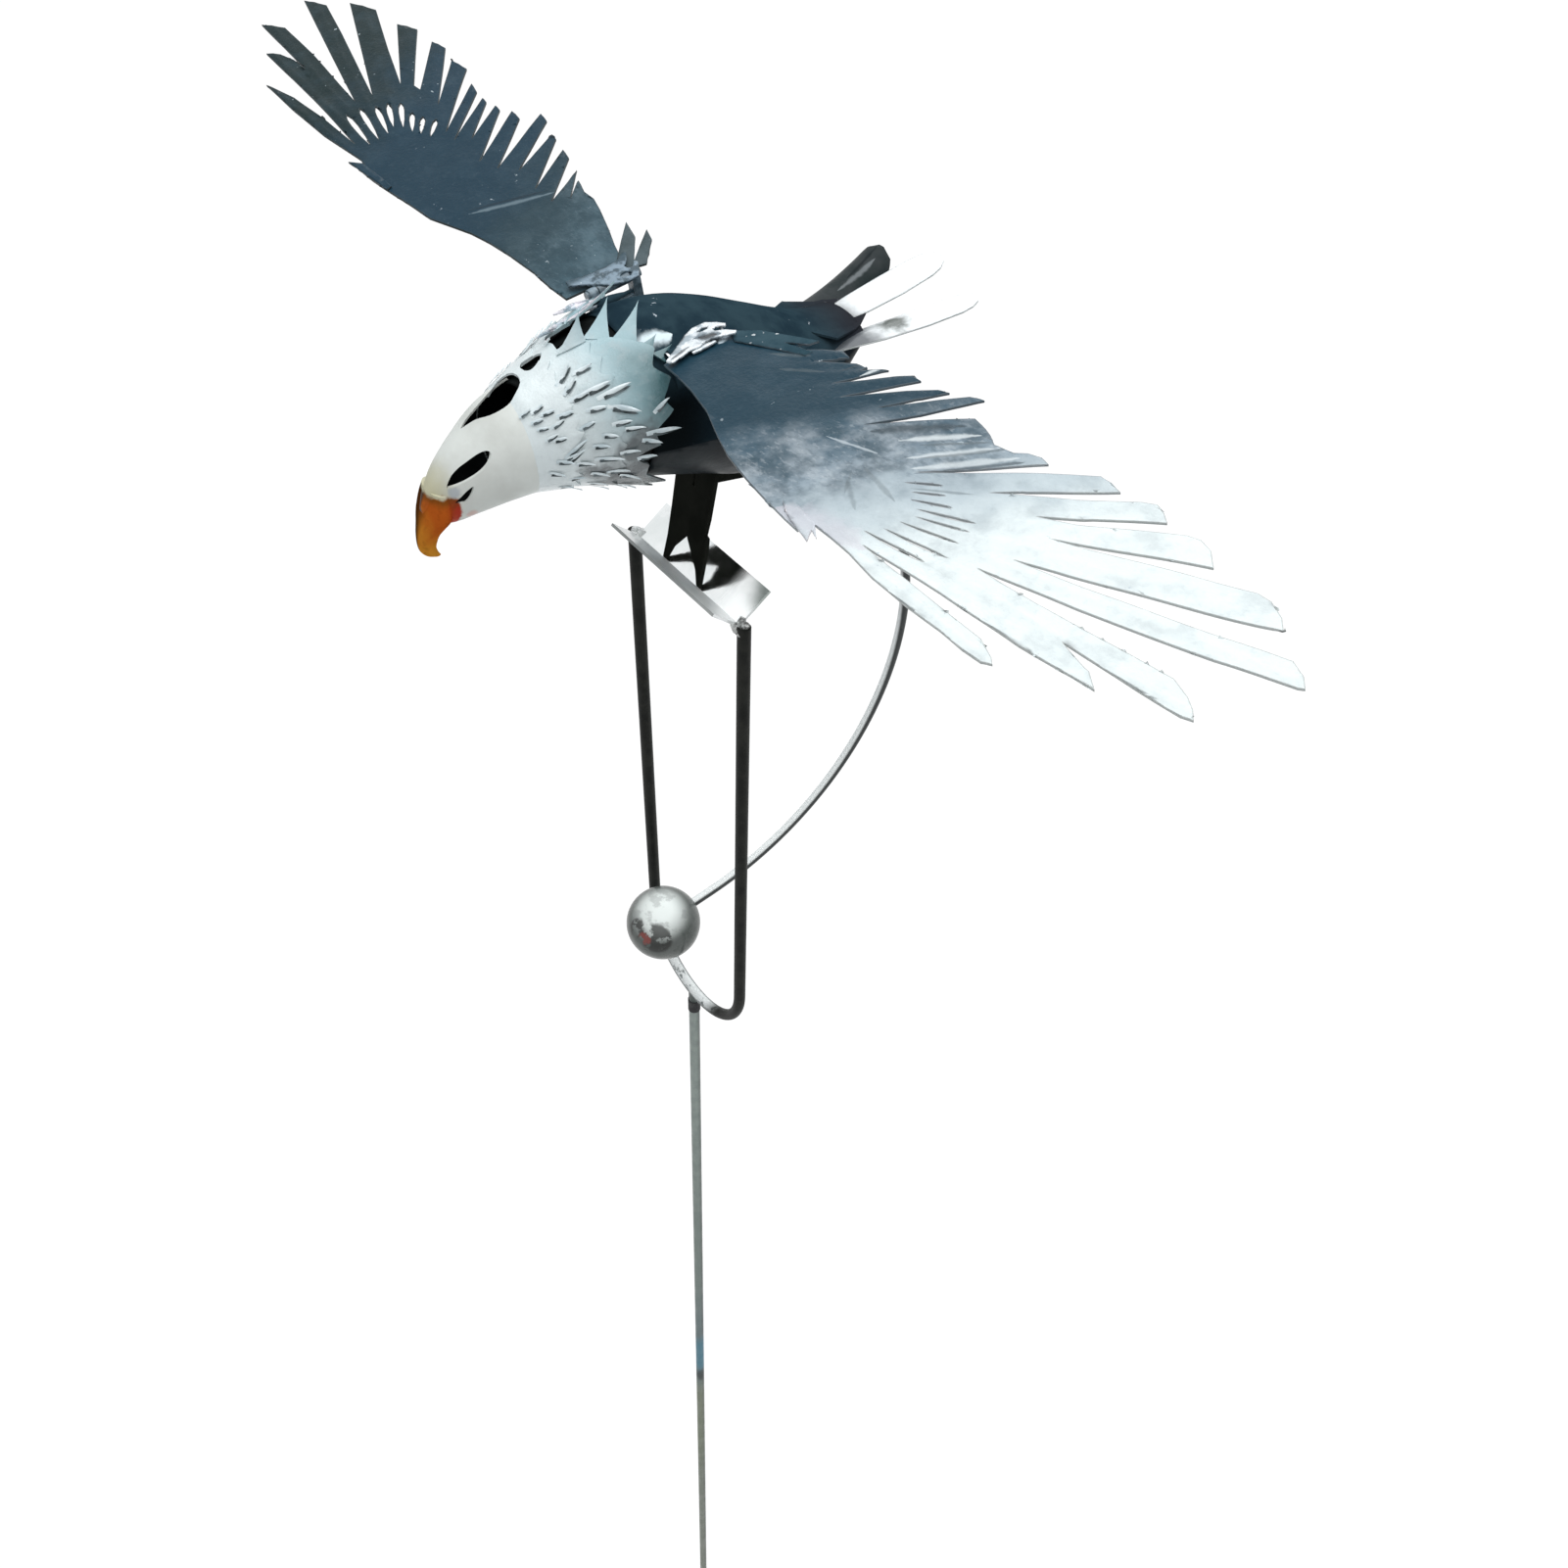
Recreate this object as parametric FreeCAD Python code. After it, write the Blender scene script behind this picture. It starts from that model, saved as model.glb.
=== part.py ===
import FreeCAD, Part
import math
import os

os.makedirs("parts", exist_ok=True)

V = FreeCAD.Vector

# A painted sheet-metal eagle that rocks on a garden stake.
# X is the bird's left, -Y is the way the beak points, Z is up, in mm.
# Z = 0 is the ground line.  Bird sizes are given as (forward, left, up)
# from the middle of the rocking line, with up counted from the stake top.

# ---------------------------------------------------------------- stake
ROD_R = 3.0                  # stake and fork are 6 mm round rod
STAKE_TOP = 900.0            # ground line to the swivel
BURIED = 150.0               # length in the ground
POINT_LEN = 22.0             # sharpened end
POINT_R = 0.4
BUSH_R = 3.45                # dark bush on top of the stake
BUSH_LEN = 8.6
PIN_R = 1.6                  # swivel pin carried by the fork
PIN_RUN = 0.05               # radial running clearance
PIN_DEPTH = 24.0             # reach of the pin into the stake
LIFT = 0.15                  # axial play of the swivel

# ---------------------------------------------------------------- fork
LEG_X = 41.0                 # half distance between the legs at the top
LEFT_OUT = 1.4               # each leg's drift outward at the bottom
RIGHT_OUT = -4.6
BOW_UP = 14.0                # rod centre at the bottom of the bow
AXIS_UP = 297.0              # rocking line, through the toe tips
LEG_UP = AXIS_UP - 1.0       # top of the legs

# ---------------------------------------------------------------- channel
CHANNEL_T = 1.3
FRONT_FLANGE, REAR_FLANGE = 16.8, 18.4
FRONT_SLOPE, REAR_SLOPE = 41.0, 36.0
CHANNEL_GAP = 0.2            # between the channel and each leg
TOE_R = 1.0                  # rounded underside of the toes
TOE_GAP = 0.3

# ---------------------------------------------------------------- rocker
BIRD_X = -5.0                # the toes stand a little to the bird's right
LEAN = 10.0                  # the leg plate leans back, degrees
LEG_SHIFT = 1.4              # leg plate off the bird's middle
TOE_HALF = 12.4              # half distance between the toe tips
TOE_W = 1.8                  # width of a toe tip
PLATE_T = 2 * TOE_R
WEIGHT_ROD_R = 2.4
# the weight rod leaves its seat under the belly, and bends twice to the ball
SEAT_FWD, SEAT_UP, SEAT_DIP = -48.6, 334.1, 38.0
UPPER_RUN, LOWER_RUN = 72.6, 30.6
HOOK_R, HOOK_TURN = 60.0, 37.0
ARC_R, ARC_TURN = 141.0, 95.0
BALL_R = 19.1
SKIN = 0.8                   # body and wing sheet
CAPE_T = 0.7                 # neck feather sheet
SEAM_DROP = 4.4              # back and belly sheets meet this far below mid body
KEEL_T = 3.0

# sections of the body: forward, up, half width, half height
BODY = [(30, 388, 30.5, 30.5), (18, 387, 32.6, 32.6), (0, 383.4, 34.4, 34.6),
        (-18, 377.6, 34.8, 35), (-36, 373, 32, 32.2), (-52, 373.6, 26, 25),
        (-66, 379.4, 20, 15), (-80, 386.6, 15, 6)]
NECK = [(67, 384.8, 19.4, 19.4), (52, 387, 23.4, 23.4), (40, 388, 27, 27),
        (30, 388, 29.5, 29.5)]
HEAD = [(107, 369.6, 4.8, 7.2), (100, 373.2, 10.4, 12), (91, 377.6, 14.4, 15.2),
        (80, 382, 18, 18.4), (67, 384.8, 20.8, 20.8)]
FRONT_CAPE = [(70.5, 384.7, 21.3, 21.3), (62, 386, 23.3, 23.3), (53, 388, 26.6, 26.6)]
MIDDLE_CAPE = [(60, 386, 22.4, 22.4), (49, 388, 27.2, 27.2), (38, 389, 32, 32)]
REAR_CAPE = [(48, 387.5, 26, 26), (38, 388.4, 30.4, 30.4), (25, 388, 36, 36)]

# openings along the top seam, forward and half width
CROWN = [(91, 0), (86.5, 3.6), (80.5, 5.6), (74, 5.6), (69, 3.6), (65.8, 0)]
NAPE = [(65, 0), (63.2, 3.2), (60, 3.4), (56.6, 0)]
SHOULDER = [(54, 0), (51.8, 4.8), (46.5, 4.6), (39.5, 0)]
# almond eye seen from the side: forward, up
EYE = [(102.3, 379.4), (99.5, 383.2), (95.4, 386.8), (91, 389.2), (87.4, 390.6),
       (86, 389.6), (87.6, 386.4), (91, 383.4), (95.4, 381), (99, 379.8)]
# hooked beak, level ovals: up, rear end, front end, half width
BEAK = [(376.2, 99.8, 107, 7.8), (371, 99.6, 108.8, 9.6), (366, 99.6, 110.8, 9.4),
        (362.4, 101.6, 112, 7.2), (358.8, 104.4, 113, 5.2), (355, 106, 113.4, 3.8),
        (352, 106.6, 112.9, 2.8), (349.4, 106, 111, 1.9), (347.8, 105.2, 108, 1)]
# the head gives way to the beak in front of this line: forward, up
CERE = [(98.8, 340), (99.4, 366), (100.2, 375.4), (103, 376.6), (116, 376), (116, 340)]

# the rear cape opens in a V along the back: forward, half width
BACK_V = [(49, 0), (43, 5.5), (34.6, 11), (27, 17.5), (20, 26)]
# and has three long lifted points a side: two base points and the tip
POINTS = [((50.5, 1.5, 414.5), (43, 5.5, 418.2), (42.6, 1.4, 423)),
          ((43, 5.5, 418), (35, 11, 417.6), (29.3, 1.2, 427)),
          ((35, 11, 417.4), (27.6, 17, 416.2), (20.6, 7.8, 427.5))]

# ---------------------------------------------------------------- wings
HINGE_X, HINGE_FWD, HINGE_UP = 27.0, 10.0, 416.0
PITCH = 9.3                  # the wing rises toward the tail
DIHEDRAL = 6.2               # and toward its tip
CAMBER_R, CAMBER_Y = 1300.0, 4.0
BARREL_R, BARREL_HALF = 2.2, 6.8
HINGE_PIN_R, HINGE_RUN = 1.0, 0.05
KNUCKLE_LEN, KNUCKLE_GAP = 3.6, 0.5
STOP_GAP = 0.3               # wing sheet above its rest
TAB_T = 0.9

# each wing is cut by hand, so left and right differ.  All points are
# forward and distance from centre: the leading edge from the root out,
# then each feather's corners and the notch behind it, then the trailing
# edge back to the root.
LEFT_WING = {
    "leading": [(25.5, 30.5), (26.5, 41), (28.5, 52.5), (32.5, 68), (38.5, 83), (42.5, 94.5),
                (46, 109.5), (48.5, 123.5), (50.5, 136.5), (51.5, 144.5), (46.5, 146.5),
                (47, 155), (48, 165), (50.5, 179), (52, 196), (52.5, 211)],
    "feathers": [
        [(53.5, 221), (53.5, 228.5), (52, 231.5), (50.5, 229.5), (47.5, 222), (46, 203.5),
         (43, 165.5)],
        [(42.5, 199.5), (43, 231.5), (41.5, 258), (37.5, 252), (34, 238.5)],
        [(34, 251.5), (34, 264.5), (33.5, 279), (32.5, 282.5), (30, 280), (27.5, 276),
         (25, 269), (26, 250), (28, 223), (28.5, 199)],
        [(22.5, 232), (14, 272), (8, 293), (7, 294.5), (4, 291.5), (1.5, 286), (6.5, 265),
         (15.5, 224.5), (19.5, 204)],
        [(7.5, 239), (-3.5, 270.5), (-6, 276.5), (-9.5, 273), (-13, 266.5), (-13.5, 261.5),
         (-6, 240), (6, 204.5)],
        [(-14, 246), (-19, 240.5), (-21, 235), (-20, 231), (-3.5, 205), (1.5, 193.5)],
        [(-20, 223.5), (-22.5, 220), (-24.5, 215.5), (-22.5, 211), (-12, 196.5), (2.5, 174.5)],
        [(-23, 202.5), (-24.5, 197.5), (-25, 192.5), (-13.5, 178), (10, 149.5)],
        [(-8, 167.5), (-18.5, 177.5), (-19.5, 173.5), (-18.5, 168.5), (-16, 165),
         (-15, 157.5), (-18.5, 151.5), (-20.5, 145.5), (-21.5, 141), (-14, 133), (3.5, 116.5)],
        [(-11.5, 126.5), (-30, 136), (-28.5, 130.5), (-21.5, 124.5), (-5, 112)],
        [(-26.5, 123), (-25, 119), (-18, 111.5), (-1.5, 97.5)],
        [(-25, 110.5), (-25, 106), (-21.5, 102), (-12.5, 95), (-5, 88.5)],
        [(-17, 94.5), (-22, 97.5), (-19.5, 93.5), (-16, 90)],
        [(-19, 89.5), (-18.5, 84.5), (-9.5, 72.5)],
        [(-19, 80), (-20, 75), (-16, 68.5), (-12.5, 64)]],
    "trailing": [(-12, 57.5), (-9, 49), (-5, 40), (-2, 32.5)],
    "slots": [((36.5, 185.5), (38.5, 160.5)), ((31, 189), (34, 164)),
              ((24.5, 186.5), (29, 165.5)), ((19, 185), (24.5, 167)), ((15, 183), (22, 164.5)),
              ((14.5, 172), (20, 160)), ((12, 166), (17.5, 157)), ((9, 161.5), (15.5, 151.5))],
    "slot width": 1.0,
    "wrist": [(46, 130), (44, 134), (45, 140), (46.5, 147), (50.5, 153), (49, 148.5),
              (53, 151.5), (51.5, 145), (50, 139)],
    "root pair": [(-2.5, 31.5), (-9.5, 40), (-14, 51.5), (-18.5, 63.5), (-15, 62.5),
                  (-10, 54), (-12.5, 68), (-9.5, 67.5), (-5.5, 54.5), (0.5, 39)]}
RIGHT_WING = {
    "leading": [(28.5, 30.5), (29.5, 41), (29.5, 51.5), (31, 67), (33, 78.5), (35.5, 88.5),
                (39, 97.5), (43, 107.5), (44.5, 119), (46.5, 132.5), (48, 145), (48.5, 153),
                (45.5, 157), (45, 161), (48.5, 187), (50, 211.5)],
    "feathers": [
        [(50.5, 236.5), (45.5, 220), (43, 197.5), (41.5, 173)],
        [(39.5, 213.5), (39, 260), (34.5, 255), (32, 247), (31.5, 236.5)],
        [(30, 283), (23, 273.5), (23.5, 244.5), (27, 199.5)],
        [(18.5, 236), (6, 288), (0, 277.5), (6, 251), (19, 199)],
        [(-9.5, 273.5), (-16, 260.5), (-4, 227), (5.5, 198.5)],
        [(-17, 242.5), (-22, 233), (1.5, 194), (1, 189.5)],
        [(-22, 220), (-24, 211.5), (1, 174)],
        [(-21.5, 202), (-23, 191.5), (8.5, 154.5)],
        [(-18, 178.5), (-16.5, 171.5), (8.5, 147.5)],
        [(-16.5, 167), (-16, 163), (2.5, 143.5)],
        [(-17.5, 158), (-17, 153.5), (8.5, 127)],
        [(-20.5, 149.5), (-20, 142.5), (5.5, 118)],
        [(-29.5, 141.5), (-28.5, 135), (-0.5, 111.5)],
        [(-24, 124.5), (-24, 120.5), (1, 96.5)],
        [(-22.5, 113), (-21, 106), (0.5, 85)],
        [(-11.5, 92), (-19, 97), (-6.5, 82)],
        [(-15.5, 90.5), (-13, 82)]],
    "trailing": [(-13.5, 76), (-11.5, 68.5), (-7, 55), (-3.5, 46), (-0.5, 36.5), (0, 32)],
    "slots": [((34.5, 193), (37, 167.5)), ((28, 193.5), (32.5, 168.5)),
              ((22, 190.5), (27.5, 169.5)), ((17, 189), (23.5, 172)),
              ((12.5, 186), (20.5, 169)), ((12.5, 176), (19, 164)),
              ((10.5, 170), (17, 160.5)), ((7, 165), (15, 156))],
    "slot width": 2.3,
    "wrist": [(50, 162), (46, 157), (45, 147.5), (44.5, 135.5), (47, 134.5), (48.5, 147.5)],
    "root pair": [(1, 30.2), (2, 32), (1, 37.5), (-6.5, 46), (-14.5, 54.5), (-12, 44.5),
                  (-3.5, 32.5), (-10, 38.5), (-18, 45.5), (-16, 39), (-6, 28), (-3.2, 28.5),
                  (-1.6, 30.2)]}
# bright root tab, outward and back from the hinge: a pointed strip with
# an eye and two prongs
TAB = [(9.2, -14.6), (6.2, -15.4), (2.5, -9.5), (-2.6, -2.5), (-5.4, 3.2), (-5, 8.4),
       (-1.6, 11.2), (2, 13), (3, 12), (0.6, 9.6), (1.2, 7.6), (3.2, 7.4),
       (5.4, 10.2), (9.4, 12.6), (10.2, 11.4), (7.6, 7.4), (6.4, 1.6), (7.2, -6.6)]
TAB_EYE = [(-2.6, 3.4), (-3.4, 6.2), (-1.8, 8.2), (-0.2, 6.4), (-0.4, 3.8), (-1.4, 2.6)]

BIG = 60.0                   # reach of a cutting tool past the work


# ================================================================ helpers
def at(fwd, left, up):
    """Point given forward, left and above the stake top."""
    return V(left, -fwd, STAKE_TOP + up)


def face(points):
    return Part.Face(Part.makePolygon(points + points[:1]))


def mirrored(shape):
    return shape.mirror(V(0, 0, 0), V(1, 0, 0))


def biggest(shape):
    return max(shape.Solids, key=lambda solid: solid.Volume)


def ring(fwd, up, half_w, half_h):
    """Oval section standing across the forward line."""
    wire = Part.Wire(Part.makeCircle(half_w, V(0, 0, 0), V(0, 1, 0)))
    matrix = FreeCAD.Matrix()
    matrix.scale(1, 1, half_h / half_w)
    if abs(half_h - half_w) > 1e-6:
        wire = wire.transformGeometry(matrix)
    wire.translate(at(fwd, 0, up))
    return wire


def oval(up, rear, front, half_w):
    """Level oval from its rear to its front end."""
    half_l = (front - rear) / 2
    wire = Part.Wire(Part.makeCircle(half_l))
    matrix = FreeCAD.Matrix()
    matrix.scale(half_w / half_l, 1, 1)
    wire = wire.transformGeometry(matrix)
    wire.translate(at((rear + front) / 2, 0, up))
    return wire


def between(a, b, k):
    return [p + (q - p) * k for p, q in zip(a, b)]


def rounded(sections):
    """Add a section halfway along each span, on the smooth curve."""
    out = [list(sections[0])]
    for i in range(len(sections) - 1):
        a, b = sections[i], sections[i + 1]
        before = sections[max(i - 1, 0)]
        after = sections[min(i + 2, len(sections) - 1)]
        mid = [(9 * (p + q) - (s + t)) / 16 for s, p, q, t in zip(before, a, b, after)]
        if i in (0, len(sections) - 2):
            mid = between(a, b, 0.5)
        out += [mid, list(b)]
    return out


def tube(sections):
    """Solid of conical bands through oval sections."""
    return Part.makeLoft([ring(*s) for s in rounded(sections)], True, True)


def thinner(sections, thick, run_on=1.0):
    """The same sections one sheet smaller, carried past both ends."""
    inner = [(f, z, a - thick, b - thick) for f, z, a, b in sections]
    first = between(inner[1], inner[0], 1 + run_on / abs(inner[1][0] - inner[0][0]))
    last = between(inner[-2], inner[-1], 1 + run_on / abs(inner[-2][0] - inner[-1][0]))
    return tube([first] + inner[1:-1] + [last])


def skin(sections, thick=SKIN):
    return tube(sections).cut(thinner(sections, thick))


def plate(points, thick, z=0.0):
    """Flat sheet from an outline in the XY plane."""
    return face([V(x, y, z) for x, y in points]).extrude(V(0, 0, thick))


def upright(points, half):
    """Sheet across the forward line from an outline of (left, up)."""
    return face([V(x, -half, z) for x, z in points]).extrude(V(0, 2 * half, 0))


def sidewise(points, half):
    """Sheet along the forward line from an outline of (forward, up)."""
    return face([at(f, -half, z) for f, z in points]).extrude(V(2 * half, 0, 0))


def symmetric(half_outline):
    """Close a (forward, half width) outline over both sides."""
    back = [(f, -w) for f, w in reversed(half_outline) if w]
    return list(half_outline) + back


def downward(half_outline, low=300.0, high=460.0):
    """Upright tool over a symmetric plan outline."""
    pts = [at(f, w, low) for f, w in symmetric(half_outline)]
    return face(pts).extrude(V(0, 0, high - low))


def block(x0, x1, y0, y1, z0, z1):
    return Part.makeBox(x1 - x0, y1 - y0, z1 - z0, V(x0, y0, z0))


def bent_rod(edges, radius):
    path = Part.Wire(edges)
    edge = path.OrderedEdges[0]
    p = edge.valueAt(edge.FirstParameter)
    t = edge.tangentAt(edge.FirstParameter)
    return path.makePipeShell([Part.Wire(Part.makeCircle(radius, p, t))], True, True)


def line(a, b):
    return Part.LineSegment(a, b).toShape()


def lens(p, q, width):
    """Pointed opening from p to q, widest a third of the way along."""
    dx, dy = q[0] - p[0], q[1] - p[1]
    n = math.hypot(dx, dy)
    side = (-dy / n * width / 2, dx / n * width / 2)
    profile = [(0, 0), (0.14, 0.8), (0.35, 1), (0.7, 0.7), (1, 0),
               (0.7, -0.7), (0.35, -1), (0.14, -0.8)]
    return [(p[0] + dx * k + side[0] * w, p[1] + dy * k + side[1] * w) for k, w in profile]


NODES = {}


# ================================================================ stake
def make_stake():
    low, top = POINT_LEN - BURIED, STAKE_TOP - BUSH_LEN / 4
    shaft = Part.makeCylinder(ROD_R, top - low, V(0, 0, low))
    shaft = shaft.fuse(Part.makeCone(POINT_R, ROD_R, POINT_LEN, V(0, 0, -BURIED)))
    bore = Part.makeCylinder(PIN_R + PIN_RUN, BIG, V(0, 0, STAKE_TOP - PIN_DEPTH - 1))
    NODES["stake_rod"] = shaft.cut(bore).removeSplitter()
    NODES["swivel_bush"] = Part.makeCylinder(BUSH_R, BUSH_LEN, V(0, 0, top)).cut(bore)
    return top + BUSH_LEN


# ================================================================ fork
def make_fork(bush_top):
    # the legs lean a little; the bow is the arc that touches both
    leg_top, drop = STAKE_TOP + LEG_UP, LEG_UP - BOW_UP - LEG_X
    lean_l, lean_r = LEFT_OUT / drop, RIGHT_OUT / drop
    grow = (lean_l + lean_r) / 2
    bow_r = (LEG_X + grow * (LEG_UP - BOW_UP)) / (1 + grow)
    centre_up = BOW_UP + bow_r
    bow_x = (lean_l - lean_r) / 2 * (LEG_UP - centre_up)
    centre = V(bow_x, 0, STAKE_TOP + centre_up)
    a_l, a_r = math.atan(lean_l), math.pi + math.atan(-lean_r)

    def rim(angle):
        return centre.add(V(bow_r * math.cos(angle), 0, bow_r * math.sin(angle)))

    left_end, right_end = rim(a_l), rim(a_r)
    top_l = V(left_end.x - lean_l * (leg_top - left_end.z), 0, leg_top)
    top_r = V(right_end.x + lean_r * (leg_top - right_end.z), 0, leg_top)
    fork = bent_rod([line(top_r, right_end),
                     Part.Arc(right_end, rim(-math.pi / 2), left_end).toShape(),
                     line(left_end, top_l)], ROD_R)
    stub_low = bush_top + LIFT
    pin_low = STAKE_TOP - PIN_DEPTH
    pin = Part.makeCylinder(PIN_R, STAKE_TOP + BOW_UP - ROD_R / 2 - pin_low, V(0, 0, pin_low))
    pin = pin.makeChamfer(0.4, [e for e in pin.Edges if e.BoundBox.ZMax < pin_low + 0.1])
    stub = Part.makeCylinder(ROD_R, STAKE_TOP + BOW_UP - stub_low, V(0, 0, stub_low))
    NODES["fork_rod"] = biggest(fork.cut(pin))
    NODES["swivel_stub"] = biggest(stub.cut([fork, pin]))
    NODES["swivel_pin"] = pin

    # V-channel between the legs; the toes stand in its valley
    f_a, r_a = math.radians(FRONT_SLOPE), math.radians(REAR_SLOPE)
    mean = (f_a + r_a) / 2
    valley = STAKE_TOP + AXIS_UP - (TOE_R + TOE_GAP) / math.cos(max(f_a, r_a))
    half = LEG_X - ROD_R - CHANNEL_GAP
    front_tip = V(0, -FRONT_FLANGE * math.cos(f_a), valley + FRONT_FLANGE * math.sin(f_a))
    rear_tip = V(0, REAR_FLANGE * math.cos(r_a), valley + REAR_FLANGE * math.sin(r_a))
    front_low = front_tip.add(V(0, -CHANNEL_T * math.sin(f_a), -CHANNEL_T * math.cos(f_a)))
    rear_low = rear_tip.add(V(0, CHANNEL_T * math.sin(r_a), -CHANNEL_T * math.cos(r_a)))
    low = V(0, 0, valley - CHANNEL_T / math.cos(mean))
    vee = [V(0, 0, valley), rear_tip, rear_low, low, front_low, front_tip]
    channel = face([p.add(V(-half, 0, 0)) for p in vee]).extrude(V(2 * half, 0, 0))
    channel = channel.cut(fork)
    NODES["v_channel"] = channel

    # weld beads: overlapping short cones that join each leg to the channel
    beads = [((-1.2, 0, -3.2), (1.0, 0.2, 1), 3.7, 1.6, 4.6),
             ((-3.4, 0.6, -2.0), (-0.5, 0.5, 1), 2.6, 1.2, 4.0),
             ((-3.0, -1.2, -2.2), (-0.2, -0.7, 1), 2.4, 1.3, 3.8)]
    for name, side in (("left_weld", 1), ("right_weld", -1)):
        bead = None
        for (x, y, z), (dx, dy, dz), r0, r1, height in beads:
            foot = V(side * (LEG_X + x), y, leg_top + z)
            lump = Part.makeCone(r0, r1, height, foot, V(side * dx * 0.3, dy, dz))
            bead = lump if bead is None else bead.fuse(lump)
        NODES[name] = biggest(bead.cut([fork, channel]))


# ================================================================ body
def make_body():
    body_solid, neck_solid, head_solid = tube(BODY), tube(NECK), tube(HEAD)
    rear = BODY[-1][0]
    seam_up = BODY[2][1] - SEAM_DROP
    seam = [(120, seam_up), (-58, seam_up), (rear - 10, seam_up + 12)]
    upper = sidewise(seam + [(rear - 10, 470), (120, 470)], BIG + 20)
    body_skin = skin(BODY)
    NODES["back_shell"] = biggest(body_skin.common(upper))
    NODES["belly_shell"] = biggest(body_skin.cut(upper))

    crown, nape, shoulder = downward(CROWN, 385), downward(NAPE, 385), downward(SHOULDER, 385)
    front_region = sidewise(CERE, 20)
    eyes = sidewise(EYE, BIG)
    NODES["head_shell"] = biggest(skin(HEAD).cut([eyes, crown, front_region]))
    NODES["neck_shell"] = biggest(skin(NECK).cut([nape, shoulder]))

    beak = Part.makeLoft([oval(*level) for level in BEAK], True, True)
    NODES["beak"] = biggest(beak.common(front_region))
    return body_solid, neck_solid, head_solid, [crown, nape, shoulder]


# ================================================================ neck feathers
def notch(angle, width, fwd_in, fwd_out, up):
    """V cut in a cape's rear edge, at an angle from straight up."""
    a = math.radians(angle)
    out = V(math.sin(a), 0, math.cos(a))
    side = V(math.cos(a), 0, -math.sin(a)).multiply(width / 2)
    hub = at(0, 0, up).add(V(out).multiply(6))
    rear = V(0, -fwd_out, 0)
    pts = [hub.add(side).add(rear), hub.sub(side).add(rear), hub.add(V(0, -fwd_in, 0))]
    return face(pts).extrude(V(out).multiply(BIG))


def cape(sections, count, first, last, depth, phase):
    """Flared sheet, its rear edge cut into feather points of uneven length."""
    sheet = tube(sections).cut(thinner(sections, CAPE_T))
    f_end, up, radius = sections[-1][:3]
    pitch = (last - first) / count
    cuts = []
    for k in range(count + 1):
        angle = first + k * pitch
        reach = depth * (0.78 + 0.22 * math.cos(k * 2.3 + phase))
        width = math.radians(pitch) * radius * 0.94
        cuts += [notch(a, width, f_end + reach, f_end - 1, up) for a in (angle, -angle)]
    return sheet.cut(cuts)


def spike(base_a, base_b, tip):
    """Thin lifted point, a triangle of sheet."""
    a, b, t = at(*base_a), at(*base_b), at(*tip)
    n = b.sub(a).cross(t.sub(a)).normalize()
    return Part.Face(Part.makePolygon([a, b, t, a])).extrude(n.multiply(CAPE_T))


def make_capes(body_solid, neck_solid, head_solid, gaps):
    front_solid, middle_solid = tube(FRONT_CAPE), tube(MIDDLE_CAPE)
    front = cape(FRONT_CAPE, 9, 10, 166, 6.5, 0.0)
    NODES["front_cape"] = biggest(front.cut([head_solid, neck_solid] + gaps))
    middle = cape(MIDDLE_CAPE, 8, 12, 164, 8.5, 1.0)
    NODES["middle_cape"] = biggest(middle.cut([neck_solid, front_solid] + gaps))
    rear = cape(REAR_CAPE, 8, 34, 162, 10.0, 2.0)
    rear = rear.cut([neck_solid, middle_solid, downward(BACK_V, 395)] + gaps)
    spikes = [spike(*p) for p in POINTS]
    spikes = [s.cut([middle_solid, neck_solid] + gaps) for s in spikes]
    rear = rear.fuse(spikes + [mirrored(s) for s in spikes])
    NODES["rear_cape"] = biggest(rear.cut([body_solid, middle_solid]))


# ================================================================ tail
def frame_from(origin, along, up):
    """Placement whose local y runs along and whose local z is nearest up."""
    y = V(along).normalize()
    x = y.cross(up).normalize()
    z = x.cross(y)
    return FreeCAD.Placement(FreeCAD.Matrix(
        x.x, y.x, z.x, origin.x, x.y, y.y, z.y, origin.y, x.z, y.z, z.z, origin.z, 0, 0, 0, 1))


def gutter(root, tip, width, curl, tilt=0.0):
    """Feather bent to a gutter of radius curl, from root to tip."""
    a, b = at(*root), at(*tip)
    length = b.sub(a).Length
    h = width / 2
    rim = [(0.55, 0), (0.9, 0.35), (1, 0.62), (0.93, 0.85), (0.62, 0.965), (0, 1)]
    right = [(h * w, length * k) for w, k in rim]
    blank = plate(right + [(-x, y) for x, y in reversed(right) if x], 40, -20)
    axis = V(0, 1, 0)
    shell = Part.makeCylinder(curl, length + 2, V(0, -1, -curl), axis).cut(
        Part.makeCylinder(curl - SKIN, length + 4, V(0, -2, -curl), axis))
    upper = block(-width, width, -2, length + 2, -curl, 2)
    blade = biggest(shell.common(upper).common(blank))
    lean = math.radians(tilt)
    blade.Placement = frame_from(a, b.sub(a), V(math.sin(lean), 0, math.cos(lean)))
    return blade


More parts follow.
